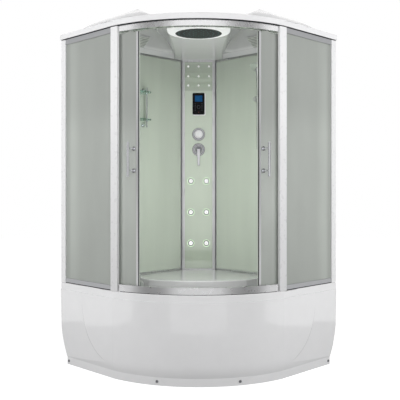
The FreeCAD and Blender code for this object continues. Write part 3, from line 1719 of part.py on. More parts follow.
def extractor_fan():
    """Fan in the right dome: grille inside, round housing outside."""
    return on_slope(grille_plate().fuse(unit_can(fan_radius, fan_height)))


def speaker():
    """Loudspeaker in the left dome: grille inside, round can outside."""
    return mirrored(on_slope(grille_plate().fuse(unit_can(speaker_radius, speaker_height))))


def rain_housing():
    """Rounded housing of the rain shower under the roof's middle."""
    top = roof_bottom + roof_rim_height - roof_wall
    low = top - rain_housing_height
    radius = rain_housing_radius
    front = front_y + rain_housing_front_behind
    rear = front_y + rain_housing_rear_behind
    plan = Part.Wire([
        line((radius, front), (radius, rear), low),
        arc((radius, rear), (0, rear + radius), (-radius, rear), low),
        line((-radius, rear), (-radius, front), low),
        arc((-radius, front), (0, front - radius), (radius, front), low),
    ])
    body = Part.Face(plan).extrude(V(0, 0, top - low))
    body = body.makeFillet(rain_housing_height / 3, edges_at(body, low))
    return body.cut(rod(rain_head_radius, rain_housing_height + overrun, V(0, rain_y, low - overrun / 2), up))


def rain_head():
    """Round perforated plate of the rain shower."""
    top = roof_bottom + roof_rim_height - roof_wall
    low = top - rain_housing_height + rain_head_recess
    plate = rod(rain_head_radius, top - low, V(0, rain_y, low), up)
    for row in range(1, rain_ring_rows + 1):
        reach = rain_head_radius * row / (rain_ring_rows + rain_rim_share)
        count = row * rain_first_ring
        for index in range(count):
            angle = math.radians(full_turn * index / count)
            place = V(reach * math.cos(angle), rain_y + reach * math.sin(angle), low - rain_hole_depth)
            plate = plate.cut(rod(rain_hole_radius, rain_hole_depth * 2, place, up))
    return plate


# Every piece, by name

def all_parts():
    parts = {
        "tray": tray(),
        "tray_frame": tray_frame(),
        "leveling_feet": leveling_feet(),
        "front_apron": front_apron(),
        "apron_caps": apron_caps(),
        "drain_body": drain_body(),
        "drain_cap": drain_cap(),
        "drain_trap": drain_trap(),
        "overflow_cover": overflow_cover(),
        "bottom_rail": bottom_rail(),
        "top_rail": top_rail(),
        "front_posts": front_posts(),
        "wall_profiles": wall_profiles(),
        "side_glass": side_panes(),
        "side_cross_profiles": side_cross_profiles(),
        "back_glass": back_panes(),
        "back_wall_frames": back_wall_frames(),
        "wall_clips": wall_clips(),
        "column_frame": column_frame(),
        "column_glass": column_pane(),
        "neck_nozzles": neck_nozzles(),
        "control_panel": control_panel(),
        "control_screen": control_screen(),
        "mixer_body": mixer_body(),
        "mixer_roses": mixer_roses(),
        "diverter_knob": diverter_knob(),
        "mixer_cap": mixer_cap(),
        "mixer_lever": mixer_lever(),
        "jet_housings": jet_housings(),
        "shelf_rack": shelf_rack(),
        "shelf_glass": shelf_plates(),
        "slide_bar": slide_bar(),
        "shower_slider": shower_slider(),
        "shower_holder": shower_holder(),
        "hand_shower": hand_shower(),
        "roof": roof(),
        "rain_housing": rain_housing(),
        "rain_head": rain_head(),
        "speaker": speaker(),
        "extractor_fan": extractor_fan(),
    }
    first, second = hanger_angles()
    right_side = {
        "door_glass": door_with_holes(),
        "door_profile": door_profile(),
        "door_seal": door_seal(),
        "door_handle": handle(),
        "door_hangers": door_hangers(),
        "front_wheel": wheel(first),
        "rear_wheel": wheel(second),
    }
    for name, shape in right_side.items():
        parts["right_" + name] = shape
        parts["left_" + name] = mirrored(shape)
    for index, (x, z) in enumerate(jet_places()):
        parts["back_jet_" + str(index + 1)] = jet(x, z)
    return parts


os.makedirs("parts", exist_ok=True)
for name, shape in all_parts().items():
    shape.exportStep("parts/" + name + ".step")
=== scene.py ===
import json
import math

import bmesh
import bpy
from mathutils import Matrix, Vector

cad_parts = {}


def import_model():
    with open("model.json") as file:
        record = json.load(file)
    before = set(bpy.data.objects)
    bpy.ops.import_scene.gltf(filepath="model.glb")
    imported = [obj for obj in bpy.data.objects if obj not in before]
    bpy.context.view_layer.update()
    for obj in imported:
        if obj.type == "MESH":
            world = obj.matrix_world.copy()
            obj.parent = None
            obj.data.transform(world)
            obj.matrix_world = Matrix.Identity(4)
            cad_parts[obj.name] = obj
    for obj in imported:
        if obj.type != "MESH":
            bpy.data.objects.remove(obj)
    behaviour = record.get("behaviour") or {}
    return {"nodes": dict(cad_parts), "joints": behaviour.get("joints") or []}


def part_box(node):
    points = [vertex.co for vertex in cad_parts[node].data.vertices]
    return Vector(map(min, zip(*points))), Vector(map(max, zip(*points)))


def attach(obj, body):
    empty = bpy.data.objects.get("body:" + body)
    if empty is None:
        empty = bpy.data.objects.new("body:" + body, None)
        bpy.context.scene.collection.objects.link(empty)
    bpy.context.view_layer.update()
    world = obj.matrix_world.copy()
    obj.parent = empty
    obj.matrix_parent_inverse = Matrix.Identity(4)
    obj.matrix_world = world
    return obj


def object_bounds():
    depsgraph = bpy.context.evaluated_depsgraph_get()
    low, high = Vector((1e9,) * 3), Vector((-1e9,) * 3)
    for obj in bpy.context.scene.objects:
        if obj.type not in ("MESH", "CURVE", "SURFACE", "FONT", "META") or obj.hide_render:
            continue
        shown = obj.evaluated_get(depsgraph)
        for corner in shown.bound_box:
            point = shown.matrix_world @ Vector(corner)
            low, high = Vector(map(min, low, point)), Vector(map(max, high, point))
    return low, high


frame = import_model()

CAD_BOX = [list(corner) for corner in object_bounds()]

# Camera, from the photograph's perspective

FOCAL_PIXELS = 680.0
IMAGE_PIXELS = 400.0
PRINCIPAL_COLUMN = 198.6
HORIZON_ROW = 189.8
EYE_HEIGHT = 1.058
EYE_DISTANCE = 3.628
SENSOR = 36.0

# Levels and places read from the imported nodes, in metres

RIM_HEIGHT = 0.034
FRONT_Y = CAD_BOX[0][1]
COLUMN_FACE_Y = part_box("column_glass")[0][1]
TRAY_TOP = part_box("tray")[1][2]
HEADER_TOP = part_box("wall_profiles")[1][2]
ROOF_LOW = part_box("roof")[0][2]
ROOF_RIM = ROOF_LOW + RIM_HEIGHT
DOOR_JOINT = next(joint for joint in frame["joints"] if joint["name"] == "left_door_slide")
ARC_CENTRE_Y = DOOR_JOINT["pos_m"][1]
ARC_RADIUS = ARC_CENTRE_Y - FRONT_Y
KINK_ANGLE = math.radians(38.74)
FLAT_ANGLE = math.pi / 4


# Shader helpers

NOISE_LOW = 0.3
NOISE_HIGH = 0.7
STREAKS = (0.25, 0.75)
BEVEL_SAMPLES = 4
FULL = (1.0, 1.0, 1.0)


def linear(*levels):
    """Linear colour from 0 to 255 display levels."""
    result = []
    for level in levels:
        share = level / 255.0
        result.append(share / 12.92 if share <= 0.04045 else ((share + 0.055) / 1.055) ** 2.4)
    return tuple(result)


def tinted(color, factor):
    """Colour made lighter or darker by a factor, never past white."""
    return tuple(min(1.0, channel * factor) for channel in color)


def grey_stops(pairs):
    """Ramp stops of plain greys from (position, level) pairs."""
    return [(position, (level,) * 3) for position, level in pairs]


class Nodes:
    """A node tree under construction, with short names for its nodes and links."""

    def __init__(self, tree):
        self.tree = tree
        self.coords = None

    def add(self, kind, **settings):
        node = self.tree.nodes.new(kind)
        for key, value in settings.items():
            setattr(node, key, value)
        return node

    def link(self, source, target):
        self.tree.links.new(source, target)

    def feed(self, socket, value):
        """Give a socket a number, a colour or another node's output."""
        if isinstance(value, bpy.types.NodeSocket):
            self.link(value, socket)
        elif isinstance(value, tuple):
            socket.default_value = value + (1.0,)
        else:
            socket.default_value = value

    def place(self):
        """Position on the object, in metres of the part's own frame."""
        if self.coords is None:
            self.coords = self.add("ShaderNodeTexCoord").outputs["Object"]
        return self.coords

    def axis(self, name):
        split = self.add("ShaderNodeSeparateXYZ")
        self.link(self.place(), split.inputs[0])
        return split.outputs[name]

    def reach(self):
        """Distance to the left or right of the part's middle plane."""
        return self.math("ABSOLUTE", self.axis("X"))

    def rise(self):
        """Share of the height between the tray and the header."""
        return self.spread(self.axis("Z"), TRAY_TOP, HEADER_TOP)

    def noise(self, scale, detail=3.0, stretch=(1, 1, 1)):
        """Noise over the part, with its place stretched along each axis."""
        mapping = self.add("ShaderNodeMapping")
        mapping.inputs["Scale"].default_value = stretch
        self.link(self.place(), mapping.inputs["Vector"])
        node = self.add("ShaderNodeTexNoise")
        node.inputs["Scale"].default_value = scale
        node.inputs["Detail"].default_value = detail
        self.link(mapping.outputs[0], node.inputs["Vector"])
        return node.outputs[0]

    def ramp(self, value, stops, smooth=False):
        """Colours along a value: stops are (position, colour)."""
        node = self.add("ShaderNodeValToRGB")
        band = node.color_ramp
        band.interpolation = "EASE" if smooth else "LINEAR"
        while len(band.elements) < len(stops):
            band.elements.new(1.0)
        for element, (position, color) in zip(band.elements, stops):
            element.position = position
            element.color = color + (1.0,)
        self.link(value, node.inputs[0])
        return node.outputs[0]

    def mottle(self, pattern, dark, pale, low=NOISE_LOW, high=NOISE_HIGH):
        """Two tones that follow a noise pattern."""
        return self.ramp(pattern, ((low, dark), (high, pale)))

    def spread(self, value, low, high, to_low=0.0, to_high=1.0):
        """Map a value from one range to another, held at both ends."""
        node = self.add("ShaderNodeMapRange")
        ranges = (("From Min", low), ("From Max", high), ("To Min", to_low), ("To Max", to_high))
        for name, number in ranges + (("Value", value),):
            self.feed(node.inputs[name], number)
        return node.outputs[0]

    def math(self, operation, first, second=0.0):
        node = self.add("ShaderNodeMath", operation=operation)
        self.feed(node.inputs[0], first)
        self.feed(node.inputs[1], second)
        return node.outputs[0]

    def mix(self, factor, first, second):
        """Colour between two colours."""
        node = self.add("ShaderNodeMix", data_type="RGBA")
        sockets = [socket for socket in node.inputs if socket.type == "RGBA"]
        self.feed(node.inputs["Factor"], factor)
        self.feed(sockets[0], first)
        self.feed(sockets[1], second)
        return next(socket for socket in node.outputs if socket.type == "RGBA")

    def multiply(self, first, second):
        node = self.add("ShaderNodeVectorMath", operation="MULTIPLY")
        self.link(first, node.inputs[0])
        self.link(second, node.inputs[1])
        return node.outputs[0]

    def seen(self):
        """1 for rays from the camera, and for those that gloss or glass passes on."""
        light = self.add("ShaderNodeLightPath")
        result = light.outputs["Is Camera Ray"]
        for ray in ("Is Glossy Ray", "Is Transmission Ray"):
            result = self.math("MAXIMUM", result, light.outputs[ray])
        return result


class Material(Nodes):
    """A material's nodes, around its main shader."""

    def __init__(self, name):
        self.material = bpy.data.materials.new(name)
        self.material.use_nodes = True
        super().__init__(self.material.node_tree)
        self.shader = self.tree.nodes["Principled BSDF"]
        self.surface = self.tree.nodes["Material Output"].inputs["Surface"]

    def paint(self, color):
        self.link(color, self.shader.inputs["Base Color"])

    def roughen(self, pattern, smoothest, roughest, low=NOISE_LOW, high=NOISE_HIGH):
        """Roughness between two levels that follows a noise pattern."""
        rough = self.spread(pattern, low, high, smoothest, roughest)
        self.link(rough, self.shader.inputs["Roughness"])

    def soften_edges(self, radius, height=None, strength=0.0, distance=0.001):
        """Rounded highlight on sharp edges, under an optional bump of a height pattern."""
        bevel = self.add("ShaderNodeBevel", samples=BEVEL_SAMPLES)
        bevel.inputs["Radius"].default_value = radius
        normal = bevel.outputs[0]
        if height is not None:
            bump = self.add("ShaderNodeBump")
            bump.inputs["Strength"].default_value = strength
            bump.inputs["Distance"].default_value = distance
            self.link(height, bump.inputs["Height"])
            self.link(normal, bump.inputs["Normal"])
            normal = bump.outputs[0]
        self.link(normal, self.shader.inputs["Normal"])

    def set(self, **values):
        """Constants on the shader's own sockets. Returns the finished material."""
        for name, value in values.items():
            self.shader.inputs[name.replace("_", " ")].default_value = value
        return self.material


# Plain materials

def finished(material, roughness, grain=14.0, edge=0.0008, ripple=0.02, coat=0.0, gloss=0.5,
             metallic=0.0, light=0.0):
    """Coat of a painted or moulded surface: changing roughness, soft edges and a faint ripple."""
    material.roughen(material.noise(grain * 3, 2.0), roughness * 0.85, roughness * 1.15)
    material.soften_edges(edge, material.noise(grain * 10, 2.0), ripple)
    # The light setting makes a painted glow, on parts that are no lamps.
    return material.set(Coat_Weight=coat, Coat_Roughness=0.05, Specular_IOR_Level=gloss,
                        Metallic=metallic, Emission_Color=(1, 1, 1, 1), Emission_Strength=light)


def coated(name, color, roughness, variation=0.04, grain=14.0, **finish):
    """Painted, plated or moulded surface with soft variation in its colour."""
    material = Material(name)
    dark, pale = tinted(color, 1 - variation), tinted(color, 1 + variation)
    material.paint(material.mottle(material.noise(grain, 4.0), dark, pale))
    return finished(material, roughness, grain, **finish)


def metal(name, color, roughness, stretch=(1, 1, 1), grain=60.0, lines=0.05, edge=0.0006):
    """Metal with fine drawn lines along the stretch's smallest scale."""
    material = Material(name)
    streaks = material.noise(grain, 3.0, stretch)
    material.paint(material.mottle(streaks, tinted(color, 0.93), tinted(color, 1.05), *STREAKS))
    material.roughen(streaks, roughness * 0.8, roughness * 1.25, *STREAKS)
    material.soften_edges(edge, streaks, lines, 0.0004)
    return material.set(Metallic=1.0)


UPRIGHT = (4, 4, 0.1)
LYING = (0.6, 0.6, 10)
SMOOTH = {"edge": 0.0, "ripple": 0.0}
POLISHED = {"lines": 0.01, "grain": 25.0}

# Name: (colour, roughness, further settings)
COATED = {
    "acrylic": (linear(228, 228, 229), 0.07, {"variation": 0.01, "coat": 0.5, "ripple": 0.0}),
    "white_profile": (linear(226, 226, 227), 0.3, {"variation": 0.008, "grain": 20.0, **SMOOTH}),
    "white_plastic": (linear(236, 236, 238), 0.2, {"variation": 0.02, "grain": 60.0}),
    "waste_plastic": (linear(222, 222, 218), 0.4, {"variation": 0.03}),
    "grey_plastic": (linear(168, 172, 168), 0.38, {"variation": 0.03, "grain": 60.0}),
    "black_plastic": (linear(9, 10, 13), 0.22, {"variation": 0.1, "grain": 50.0, "gloss": 0.12}),
    "dark_plate": (linear(15, 20, 20), 0.35, {"variation": 0.55, "grain": 70.0, "gloss": 0.15}),
    "tip_silicone": (linear(104, 150, 156), 0.35, {"variation": 0.1, "grain": 80.0}),
    "gasket": (linear(34, 35, 37), 0.5, {"variation": 0.1, "grain": 60.0, "gloss": 0.2}),
    "key_plastic": (linear(60, 60, 66), 0.4, {"variation": 0.08, "grain": 90.0, "gloss": 0.2}),
    "power_key": (linear(96, 44, 36), 0.4, {"variation": 0.08, "grain": 90.0, "gloss": 0.2}),
    "grey_rim": (linear(84, 80, 88), 0.3, {"variation": 0.03, "grain": 60.0}),
    "frame_steel": (linear(176, 178, 180), 0.42, {"variation": 0.06, "grain": 25.0}),
    "rail": (linear(206, 206, 207), 0.3, {"variation": 0.006, "metallic": 1.0, **SMOOTH}),
    "header": (linear(238, 238, 239), 0.28, {"variation": 0.006, "metallic": 1.0, **SMOOTH}),
    # Painted glow: the neck nozzles, the jet balls and the rain housing's ring glow though none is
    # a lamp.
    "lit_white": (linear(240, 240, 241), 0.2, {"variation": 0.01, "grain": 60.0, "light": 0.3}),
    "jet_white": (linear(240, 240, 241), 0.2, {"variation": 0.01, "grain": 60.0, "light": 0.5}),
    "lit_ring": (linear(236, 236, 237), 0.15, {"variation": 0.01, "grain": 40.0, "light": 0.38}),
}
METALS = {
    "brass": ((0.72, 0.52, 0.22), 0.32, {}),
    "chrome": (linear(228, 229, 232), 0.06, POLISHED),
    # Darker copies of the chrome: painted dark reflections on the rose rims, the roses, the lever
    # and the caps.
    "dark_chrome": (linear(96, 97, 100), 0.2, POLISHED),
    "rose_chrome": (linear(184, 185, 187), 0.12, POLISHED),
    "lever_chrome": (linear(210, 210, 213), 0.2, POLISHED),
    "cap_chrome": (linear(150, 151, 154), 0.12, POLISHED),
    "aluminium": (linear(206, 206, 208), 0.3, {"stretch": UPRIGHT, "lines": 0.01, "edge": 0.0003}),
    "cross_profile": (linear(168, 169, 171), 0.35, {"stretch": LYING, "edge": 0.0003}),
    "door_profile": (linear(238, 238, 239), 0.42,
                     {"stretch": UPRIGHT, "lines": 0.01, "edge": 0.0002}),
}


# Glass, and materials whose tone follows the place on the part, much of it painted light, shade
# and reflection

ACRYLIC_WHITE = linear(228, 228, 229)
RIM_BLEND = 0.012
LEDGE_DEPTH = 0.004
LEDGE_BLEND = 0.004
BASIN_INSET = 0.075
BASIN_BLEND = 0.03
# Painted shade: factors that darken the roof's domes and the tray's basin
DOME_PAINTED_SHADE = 0.78
BASIN_PAINTED_SHADE = 0.74
SEAL_LIP_X = 0.3262
SEAL_BLEND = 0.0003
SLAT_PITCH = 0.0075
GLOW_STRENGTH = 0.68
SCREEN_STRENGTH = 0.35
# Painted light: the doors' frosted glass is a lighter copy of the sides'
SIDE_LEVEL = 193
DOOR_LEVEL = 208

# Tones along the height between tray and header: painted light and shade on the glass and the
# posts, painted reflections on the column
COLUMN_PAINTED_REFLECTIONS = ((0.0, 0.78), (0.06, 0.84), (0.18, 0.92), (0.4, 1.0), (0.82, 0.95),
                  (0.856, 0.93), (0.858, 0.76), (0.875, 0.76), (0.885, 0.83), (0.94, 0.82),
                  (0.945, 0.7), (0.985, 0.7), (0.99, 0.85))
WALL_HEIGHTS = ((0.0, 1.0), (1.0, 1.0))
SIDE_PAINTED_LIGHT_HEIGHTS = ((0.0, 0.93), (0.2, 0.97), (0.45, 1.0), (0.58, 0.99), (0.74, 0.86), (1.0, 0.84))
DOOR_PAINTED_LIGHT_HEIGHTS = ((0.0, 0.86), (0.17, 0.92), (0.35, 1.0), (0.48, 0.98), (0.72, 0.72), (1.0, 0.72))
POST_PAINTED_SHADE = ((0.0, 0.82), (0.2, 0.86), (0.45, 0.94), (0.7, 1.0), (1.0, 1.0))

# Tones along the reach from the middle, in metres: painted light and shade near the glass's outer
# edges
SIDE_PAINTED_LIGHT_REACHES = ((0.70, 0.86), (0.745, 0.98), (0.768, 0.98), (0.79, 0.8))
DOOR_PAINTED_LIGHT_REACHES = ((0.36, 0.8), (0.405, 0.8), (0.42, 0.94), (0.435, 1.0))


def frosted(name, level, heights, reaches):
    """Frosted grey safety glass: its tone follows the height and the reach from the middle, as
    painted light and shade.
    """
    material = Material(name)
    clouds = material.noise(6.0, 5.0, (1, 1, 0.4))
    color = linear(level, level + 5, level - 1)
    base = material.mottle(clouds, tinted(color, 0.96), tinted(color, 1.04))
    tone = material.ramp(material.rise(), grey_stops(heights), smooth=True)
    reach = material.spread(material.reach(), 0.0, 1.0)
    tone = material.multiply(tone, material.ramp(reach, grey_stops(reaches)))
    material.paint(material.multiply(base, tone))
    material.roughen(material.noise(400.0, 2.0), 0.42, 0.55)
    material.soften_edges(0.0008, material.noise(900.0, 2.0), 0.08, 0.0005)
    return material.set(Transmission_Weight=0.25, IOR=1.5)


def back_painted(name, color, heights):
    """Clear gloss over a pale green coat, whose tone follows the height: on the column this is
    painted reflection, in dark bands near the top and a darker foot.
    """
    material = Material(name)
    streaks = material.noise(9.0, 4.0, (1, 1, 0.12))
    base = material.mottle(streaks, tinted(color, 0.965), tinted(color, 1.035))
    tone = material.ramp(material.rise(), grey_stops(heights))
    material.paint(material.multiply(base, tone))
    material.roughen(material.noise(30.0, 2.0), 0.05, 0.09)
    material.soften_edges(0.0004)
    return material.set(IOR=1.5, Specular_IOR_Level=0.9, Coat_Weight=1.0, Coat_Roughness=0.02,
                        Coat_IOR=1.6)


def lip_seal():
    """Magnetic seal: dark magnet strip with a pale soft lip at the closing side."""
    material = Material("lip_seal")
    side = material.spread(material.reach(), SEAL_LIP_X - SEAL_BLEND, SEAL_LIP_X + SEAL_BLEND)
    material.paint(material.ramp(side, ((0.0, linear(196, 201, 194)), (1.0, linear(50, 52, 52)))))
    material.roughen(material.noise(80.0, 2.0), 0.4, 0.55)
    return material.set(Specular_IOR_Level=0.2)


def clear_glass():
    """Clear glass with a green tint."""
    material = Material("shelf_glass")
    material.paint(material.mottle(material.noise(20.0), (0.62, 0.86, 0.76), (0.7, 0.92, 0.83)))
    material.roughen(material.noise(60.0), 0.01, 0.03)
    return material.set(Transmission_Weight=1.0, IOR=1.45)


def above_rim(material):
    """1 on the roof's domes and 0 on its rim."""
    return material.spread(material.axis("Z"), ROOF_RIM, ROOF_RIM + RIM_BLEND)


def in_basin(material):
    """1 below the ledge, inside the tray's rim, and 0 elsewhere."""
    ledge = TRAY_TOP - LEDGE_DEPTH
    depth = material.spread(material.axis("Z"), ledge - LEDGE_BLEND, ledge, 1.0, 0.0)
    along = material.axis("X")
    across = material.math("SUBTRACT", material.axis("Y"), ARC_CENTRE_Y)
    squares = material.math("ADD", material.math("MULTIPLY", along, along),
                            material.math("MULTIPLY", across, across))
    edge = ARC_RADIUS - BASIN_INSET
    inside = material.spread(material.math("SQRT", squares), edge, edge + BASIN_BLEND, 1.0, 0.0)
    return material.math("MULTIPLY", depth, inside)


def shaded_acrylic(name, painted_shade_at, level):
    """Gloss acrylic that is darker at one place, by painted shade."""
    material = Material(name)
    base = material.mottle(material.noise(14.0, 4.0), tinted(ACRYLIC_WHITE, 0.99),
                           tinted(ACRYLIC_WHITE, 1.01))
    tone = material.ramp(painted_shade_at(material), grey_stops(((0.0, 1.0), (1.0, level))))
    material.paint(material.multiply(base, tone))
    material.roughen(material.noise(42.0, 2.0), 0.06, 0.09)
    material.soften_edges(0.0008)
    return material.set(Coat_Weight=0.5, Coat_Roughness=0.05)


def tall_profile():
    """White coated profile, a little darker towards its foot by painted shade."""
    material = Material("tall_profile")
    stops = [(share, tinted(ACRYLIC_WHITE, level)) for share, level in POST_PAINTED_SHADE]
    tone = material.ramp(material.rise(), stops, smooth=True)
    fine = material.mottle(material.noise(20.0, 4.0), tinted(FULL, 0.99), FULL)
    material.paint(material.multiply(tone, fine))
    return finished(material, 0.3, **SMOOTH)


def slatted():
    """Pale plastic grille with dark stripes across its slope: painted shade between its slats."""
    material = Material("slatted_grille")
    along = material.math("MULTIPLY", material.axis("Z"), 2 * math.pi / SLAT_PITCH)
    slot_shade = material.spread(material.math("SINE", along), 0.55, 0.75)
    pale = material.mottle(material.noise(60.0), linear(214, 217, 212), linear(224, 227, 222))
    material.paint(material.mix(slot_shade, pale, linear(96, 98, 96)))
    material.roughen(material.noise(180.0, 2.0), 0.33, 0.43)
    material.soften_edges(0.0004)
    return material.material


def lit_screen():
    """Blue backlit screen."""
    material = Material("screen")
    glow = material.mottle(material.noise(60.0, 2.0), linear(5, 58, 100), linear(10, 72, 118))
    material.paint(glow)
    material.link(glow, material.shader.inputs["Emission Color"])
    material.roughen(material.noise(90.0), 0.08, 0.14)
    return material.set(Emission_Strength=SCREEN_STRENGTH, Specular_IOR_Level=0.1)


def jet_glow():
    """Pale green light ring of a back jet."""
    material = Material("jet_glow")
    tone = material.mottle(material.noise(80.0), linear(206, 232, 196), linear(220, 243, 212))
    material.paint(tone)
    material.link(tone, material.shader.inputs["Emission Color"])
    material.roughen(material.noise(200.0), 0.25, 0.4)
    return material.set(Emission_Strength=GLOW_STRENGTH)


MATERIALS = {
    "frosted_side": frosted("frosted_side", SIDE_LEVEL, SIDE_PAINTED_LIGHT_HEIGHTS, SIDE_PAINTED_LIGHT_REACHES),
    "frosted_door": frosted("frosted_door", DOOR_LEVEL, DOOR_PAINTED_LIGHT_HEIGHTS, DOOR_PAINTED_LIGHT_REACHES),
    "back_glass": back_painted("back_glass", linear(196, 205, 192), WALL_HEIGHTS),
    "column_glass": back_painted("column_glass", linear(198, 210, 192), COLUMN_PAINTED_REFLECTIONS),
    "roof_acrylic": shaded_acrylic("roof_acrylic", above_rim, DOME_PAINTED_SHADE),
    "tray_acrylic": shaded_acrylic("tray_acrylic", in_basin, BASIN_PAINTED_SHADE),
    "lip_seal": lip_seal(), "shelf_glass": clear_glass(), "tall_profile": tall_profile(),
    "slatted_grille": slatted(), "screen": lit_screen(), "jet_glow": jet_glow(),
}
for maker, table in ((coated, COATED), (metal, METALS)):
    for name, (color, roughness, settings) in table.items():
        MATERIALS[name] = maker(name, color, roughness, **settings)

MATERIAL_OF = {
    "tray": "tray_acrylic", "front_apron": "acrylic", "roof": "roof_acrylic",
    "tray_frame": "frame_steel", "leveling_feet": "frame_steel", "apron_caps": "cap_chrome",
    "drain_body": "waste_plastic", "drain_cap": "chrome", "drain_trap": "waste_plastic",
    "overflow_cover": "grey_plastic", "bottom_rail": "rail", "top_rail": "header",
    "front_posts": "tall_profile", "wall_profiles": "white_profile",
    "side_cross_profiles": "cross_profile", "side_glass": "frosted_side",
    "back_wall_frames": "aluminium", "back_glass": "back_glass", "wall_clips": "black_plastic",
    "column_frame": "aluminium", "column_glass": "column_glass", "neck_nozzles": "lit_white",
    "jet_housings": "grey_rim", "control_panel": "black_plastic", "control_screen": "screen",
    "mixer_body": "brass", "mixer_roses": "rose_chrome", "mixer_cap": "cap_chrome",
    "mixer_lever": "lever_chrome", "diverter_knob": "white_plastic",
    "shelf_rack": "chrome", "shelf_glass": "shelf_glass", "slide_bar": "chrome",
    "shower_slider": "grey_plastic", "shower_holder": "grey_plastic", "hand_shower": "chrome",
    "rain_housing": "lit_ring", "rain_head": "dark_plate",
    "speaker": "slatted_grille", "extractor_fan": "slatted_grille",
}
DOOR_MATERIALS = {
    "door_glass": "frosted_door", "door_profile": "door_profile", "door_seal": "lip_seal",
    "door_handle": "chrome", "door_hangers": "grey_plastic",
    "front_wheel": "waste_plastic", "rear_wheel": "waste_plastic",
}
for side in ("left_", "right_"):
    MATERIAL_OF.update({side + part: name for part, name in DOOR_MATERIALS.items()})
JET_COUNT = 6
JETS = ["back_jet_%d" % number for number in range(1, JET_COUNT + 1)]
MATERIAL_OF.update({jet: "jet_white" for jet in JETS})

for node, piece in frame["nodes"].items():
    piece.data.materials.clear()
    piece.data.materials.append(MATERIALS[MATERIAL_OF[node]])


# Details, in metres

SLIT = 0.0002
TURN_STEPS = 40

RING_FACE_Y = COLUMN_FACE_Y - 0.0045
RING_OUTER = 0.0248
RING_INNER = 0.0212
RING_PROUD = 0.0012
RING_BEVEL = 0.0005

RAIN_ROWS = 4
RAIN_FIRST_RING = 6
RAIN_RIM_SHARE = 0.6
TIP_RADIUS = 0.0032
TIP_HEIGHT = 0.0022
TIP_STEPS = 12
TIP_LEVELS = 4
HOLE_DEPTH = 0.0012

ARC_STEPS = 48
GASKET_FACE = 0.0065
GASKET_BACK = 0.0128
GASKET_BEND = 0.006
GASKET_LENGTH = 0.518
SILL_GASKET_FACE = 0.0085
SILL_GASKET_BACK = 0.0128
SILL_GAP = 0.005
BEAD_FACE = 0.0115
BEAD_BACK = 0.0127
BEAD_HEIGHT = 0.0022
BEAD_STEPS_LEFT_OUT = 3

PLATE_SHIFT = 0.003
PLATE_BORDER = 0.0055
PLATE_RADIUS = 0.007
PLATE_PROUD = 0.003
PLATE_LIFT = 0.0002
CORNER_STEPS = 6
KEY_PITCH_X = 0.024
KEY_PITCH_Z = 0.015
KEY_ROWS = 4
KEY_RADIUS = 0.004
DIAL_RADIUS = 0.013
CAP_RISE = 0.0006
CAP_STEPS = 20

RIM_WIDTH = 0.003
ROSE_RIM_BACK = 0.0025
ROSE_STEP_SHARE = 0.72


def around(steps):
    """Cosine and sine of even steps round a circle."""
    angles = [2 * math.pi * step / steps for step in range(steps)]
    return [(math.cos(angle), math.sin(angle)) for angle in angles]


def join(mesh, ring, after):
    """Add the band of faces between two closed rings of points."""
    for spot in range(len(ring)):
        beyond = (spot + 1) % len(ring)
        mesh.faces.new((ring[spot], ring[beyond], after[beyond], after[spot]))


def turned_ring(mesh, profile, centre):
    """Add a ring turned about Y to a mesh: profile of (radius, reach towards the front)."""
    rings = [[mesh.verts.new((centre[0] + radius * across, centre[1] - reach,
                              centre[2] + radius * up)) for radius, reach in profile]
             for across, up in around(TURN_STEPS)]
    for ring, after in zip(rings, rings[1:] + rings[:1]):
        join(mesh, ring, after)


def band(inner, outer, height):
    """Profile of a flat ring between two radii."""
    return ((inner, 0), (inner, height), (outer, height), (outer, 0))


def hanging_dome(mesh, radius, height, centre):
    """Add a small dome that hangs down from its centre to a mesh."""
    tip = mesh.verts.new((centre[0], centre[1], centre[2] - height))
    rings = []
    for level in range(TIP_LEVELS):
        lean = math.pi / 2 * level / TIP_LEVELS
        wide, deep = radius * math.cos(lean), height * math.sin(lean)
        rings.append([mesh.verts.new((centre[0] + wide * across, centre[1] + wide * along,
                                      centre[2] - deep)) for across, along in around(TIP_STEPS)])
    mesh.faces.new(rings[0][::-1])
    for ring, after in zip(rings, rings[1:]):
        join(mesh, ring, after)
    last = rings[-1]
    for point, beyond in zip(last, last[1:] + last[:1]):
        mesh.faces.new((point, beyond, tip))


def turned_cap(mesh, centre):
    """Add the low domed cap of a key, which faces the front, to a mesh."""
    levels = ((KEY_RADIUS, 0), (KEY_RADIUS * 0.85, CAP_RISE * 0.8), (KEY_RADIUS * 0.4, CAP_RISE))
    rings = [[mesh.verts.new((centre[0] + radius * across, centre[1] - proud,
                              centre[2] + radius * up)) for across, up in around(CAP_STEPS)]
             for radius, proud in levels]
    mesh.faces.new(rings[0])
    mesh.faces.new(rings[-1][::-1])
    for ring, after in zip(rings, rings[1:]):
        join(mesh, ring, after)


def rounded_plate(mesh, low, high, radius, front, back):
    """Add a plate with rounded corners that faces the front: low and high are (x, z)."""
    corners = ((high[0], high[1]), (low[0], high[1]), (low[0], low[1]), (high[0], low[1]))
    middle = [(a + b) / 2 for a, b in zip(low, high)]
    outline = []
    for number, corner in enumerate(corners):
        centre = [place - math.copysign(radius, place - half)
                  for place, half in zip(corner, middle)]
        for step in range(CORNER_STEPS + 1):
            angle = math.pi / 2 * (number + step / CORNER_STEPS)
            outline.append((centre[0] + radius * math.cos(angle),
                            centre[1] + radius * math.sin(angle)))
    faces = [[mesh.verts.new((x, y, z)) for x, z in outline] for y in (front, back)]
    mesh.faces.new(faces[0])
    mesh.faces.new(faces[1][::-1])
    join(mesh, faces[0], faces[1])


def strip(mesh, path, low, high):
    """Add a closed bar to a mesh, between two heights: path of (inner, outer) points in plan."""
    rings = []
    for inner, outer in path:
        corners = ((inner, low), (outer, low), (outer, high), (inner, high))
        rings.append([mesh.verts.new((*point, height)) for point, height in corners])
    for ring, after in zip(rings, rings[1:]):
        join(mesh, ring, after)
    mesh.faces.new(rings[0][::-1])
    mesh.faces.new(rings[-1])


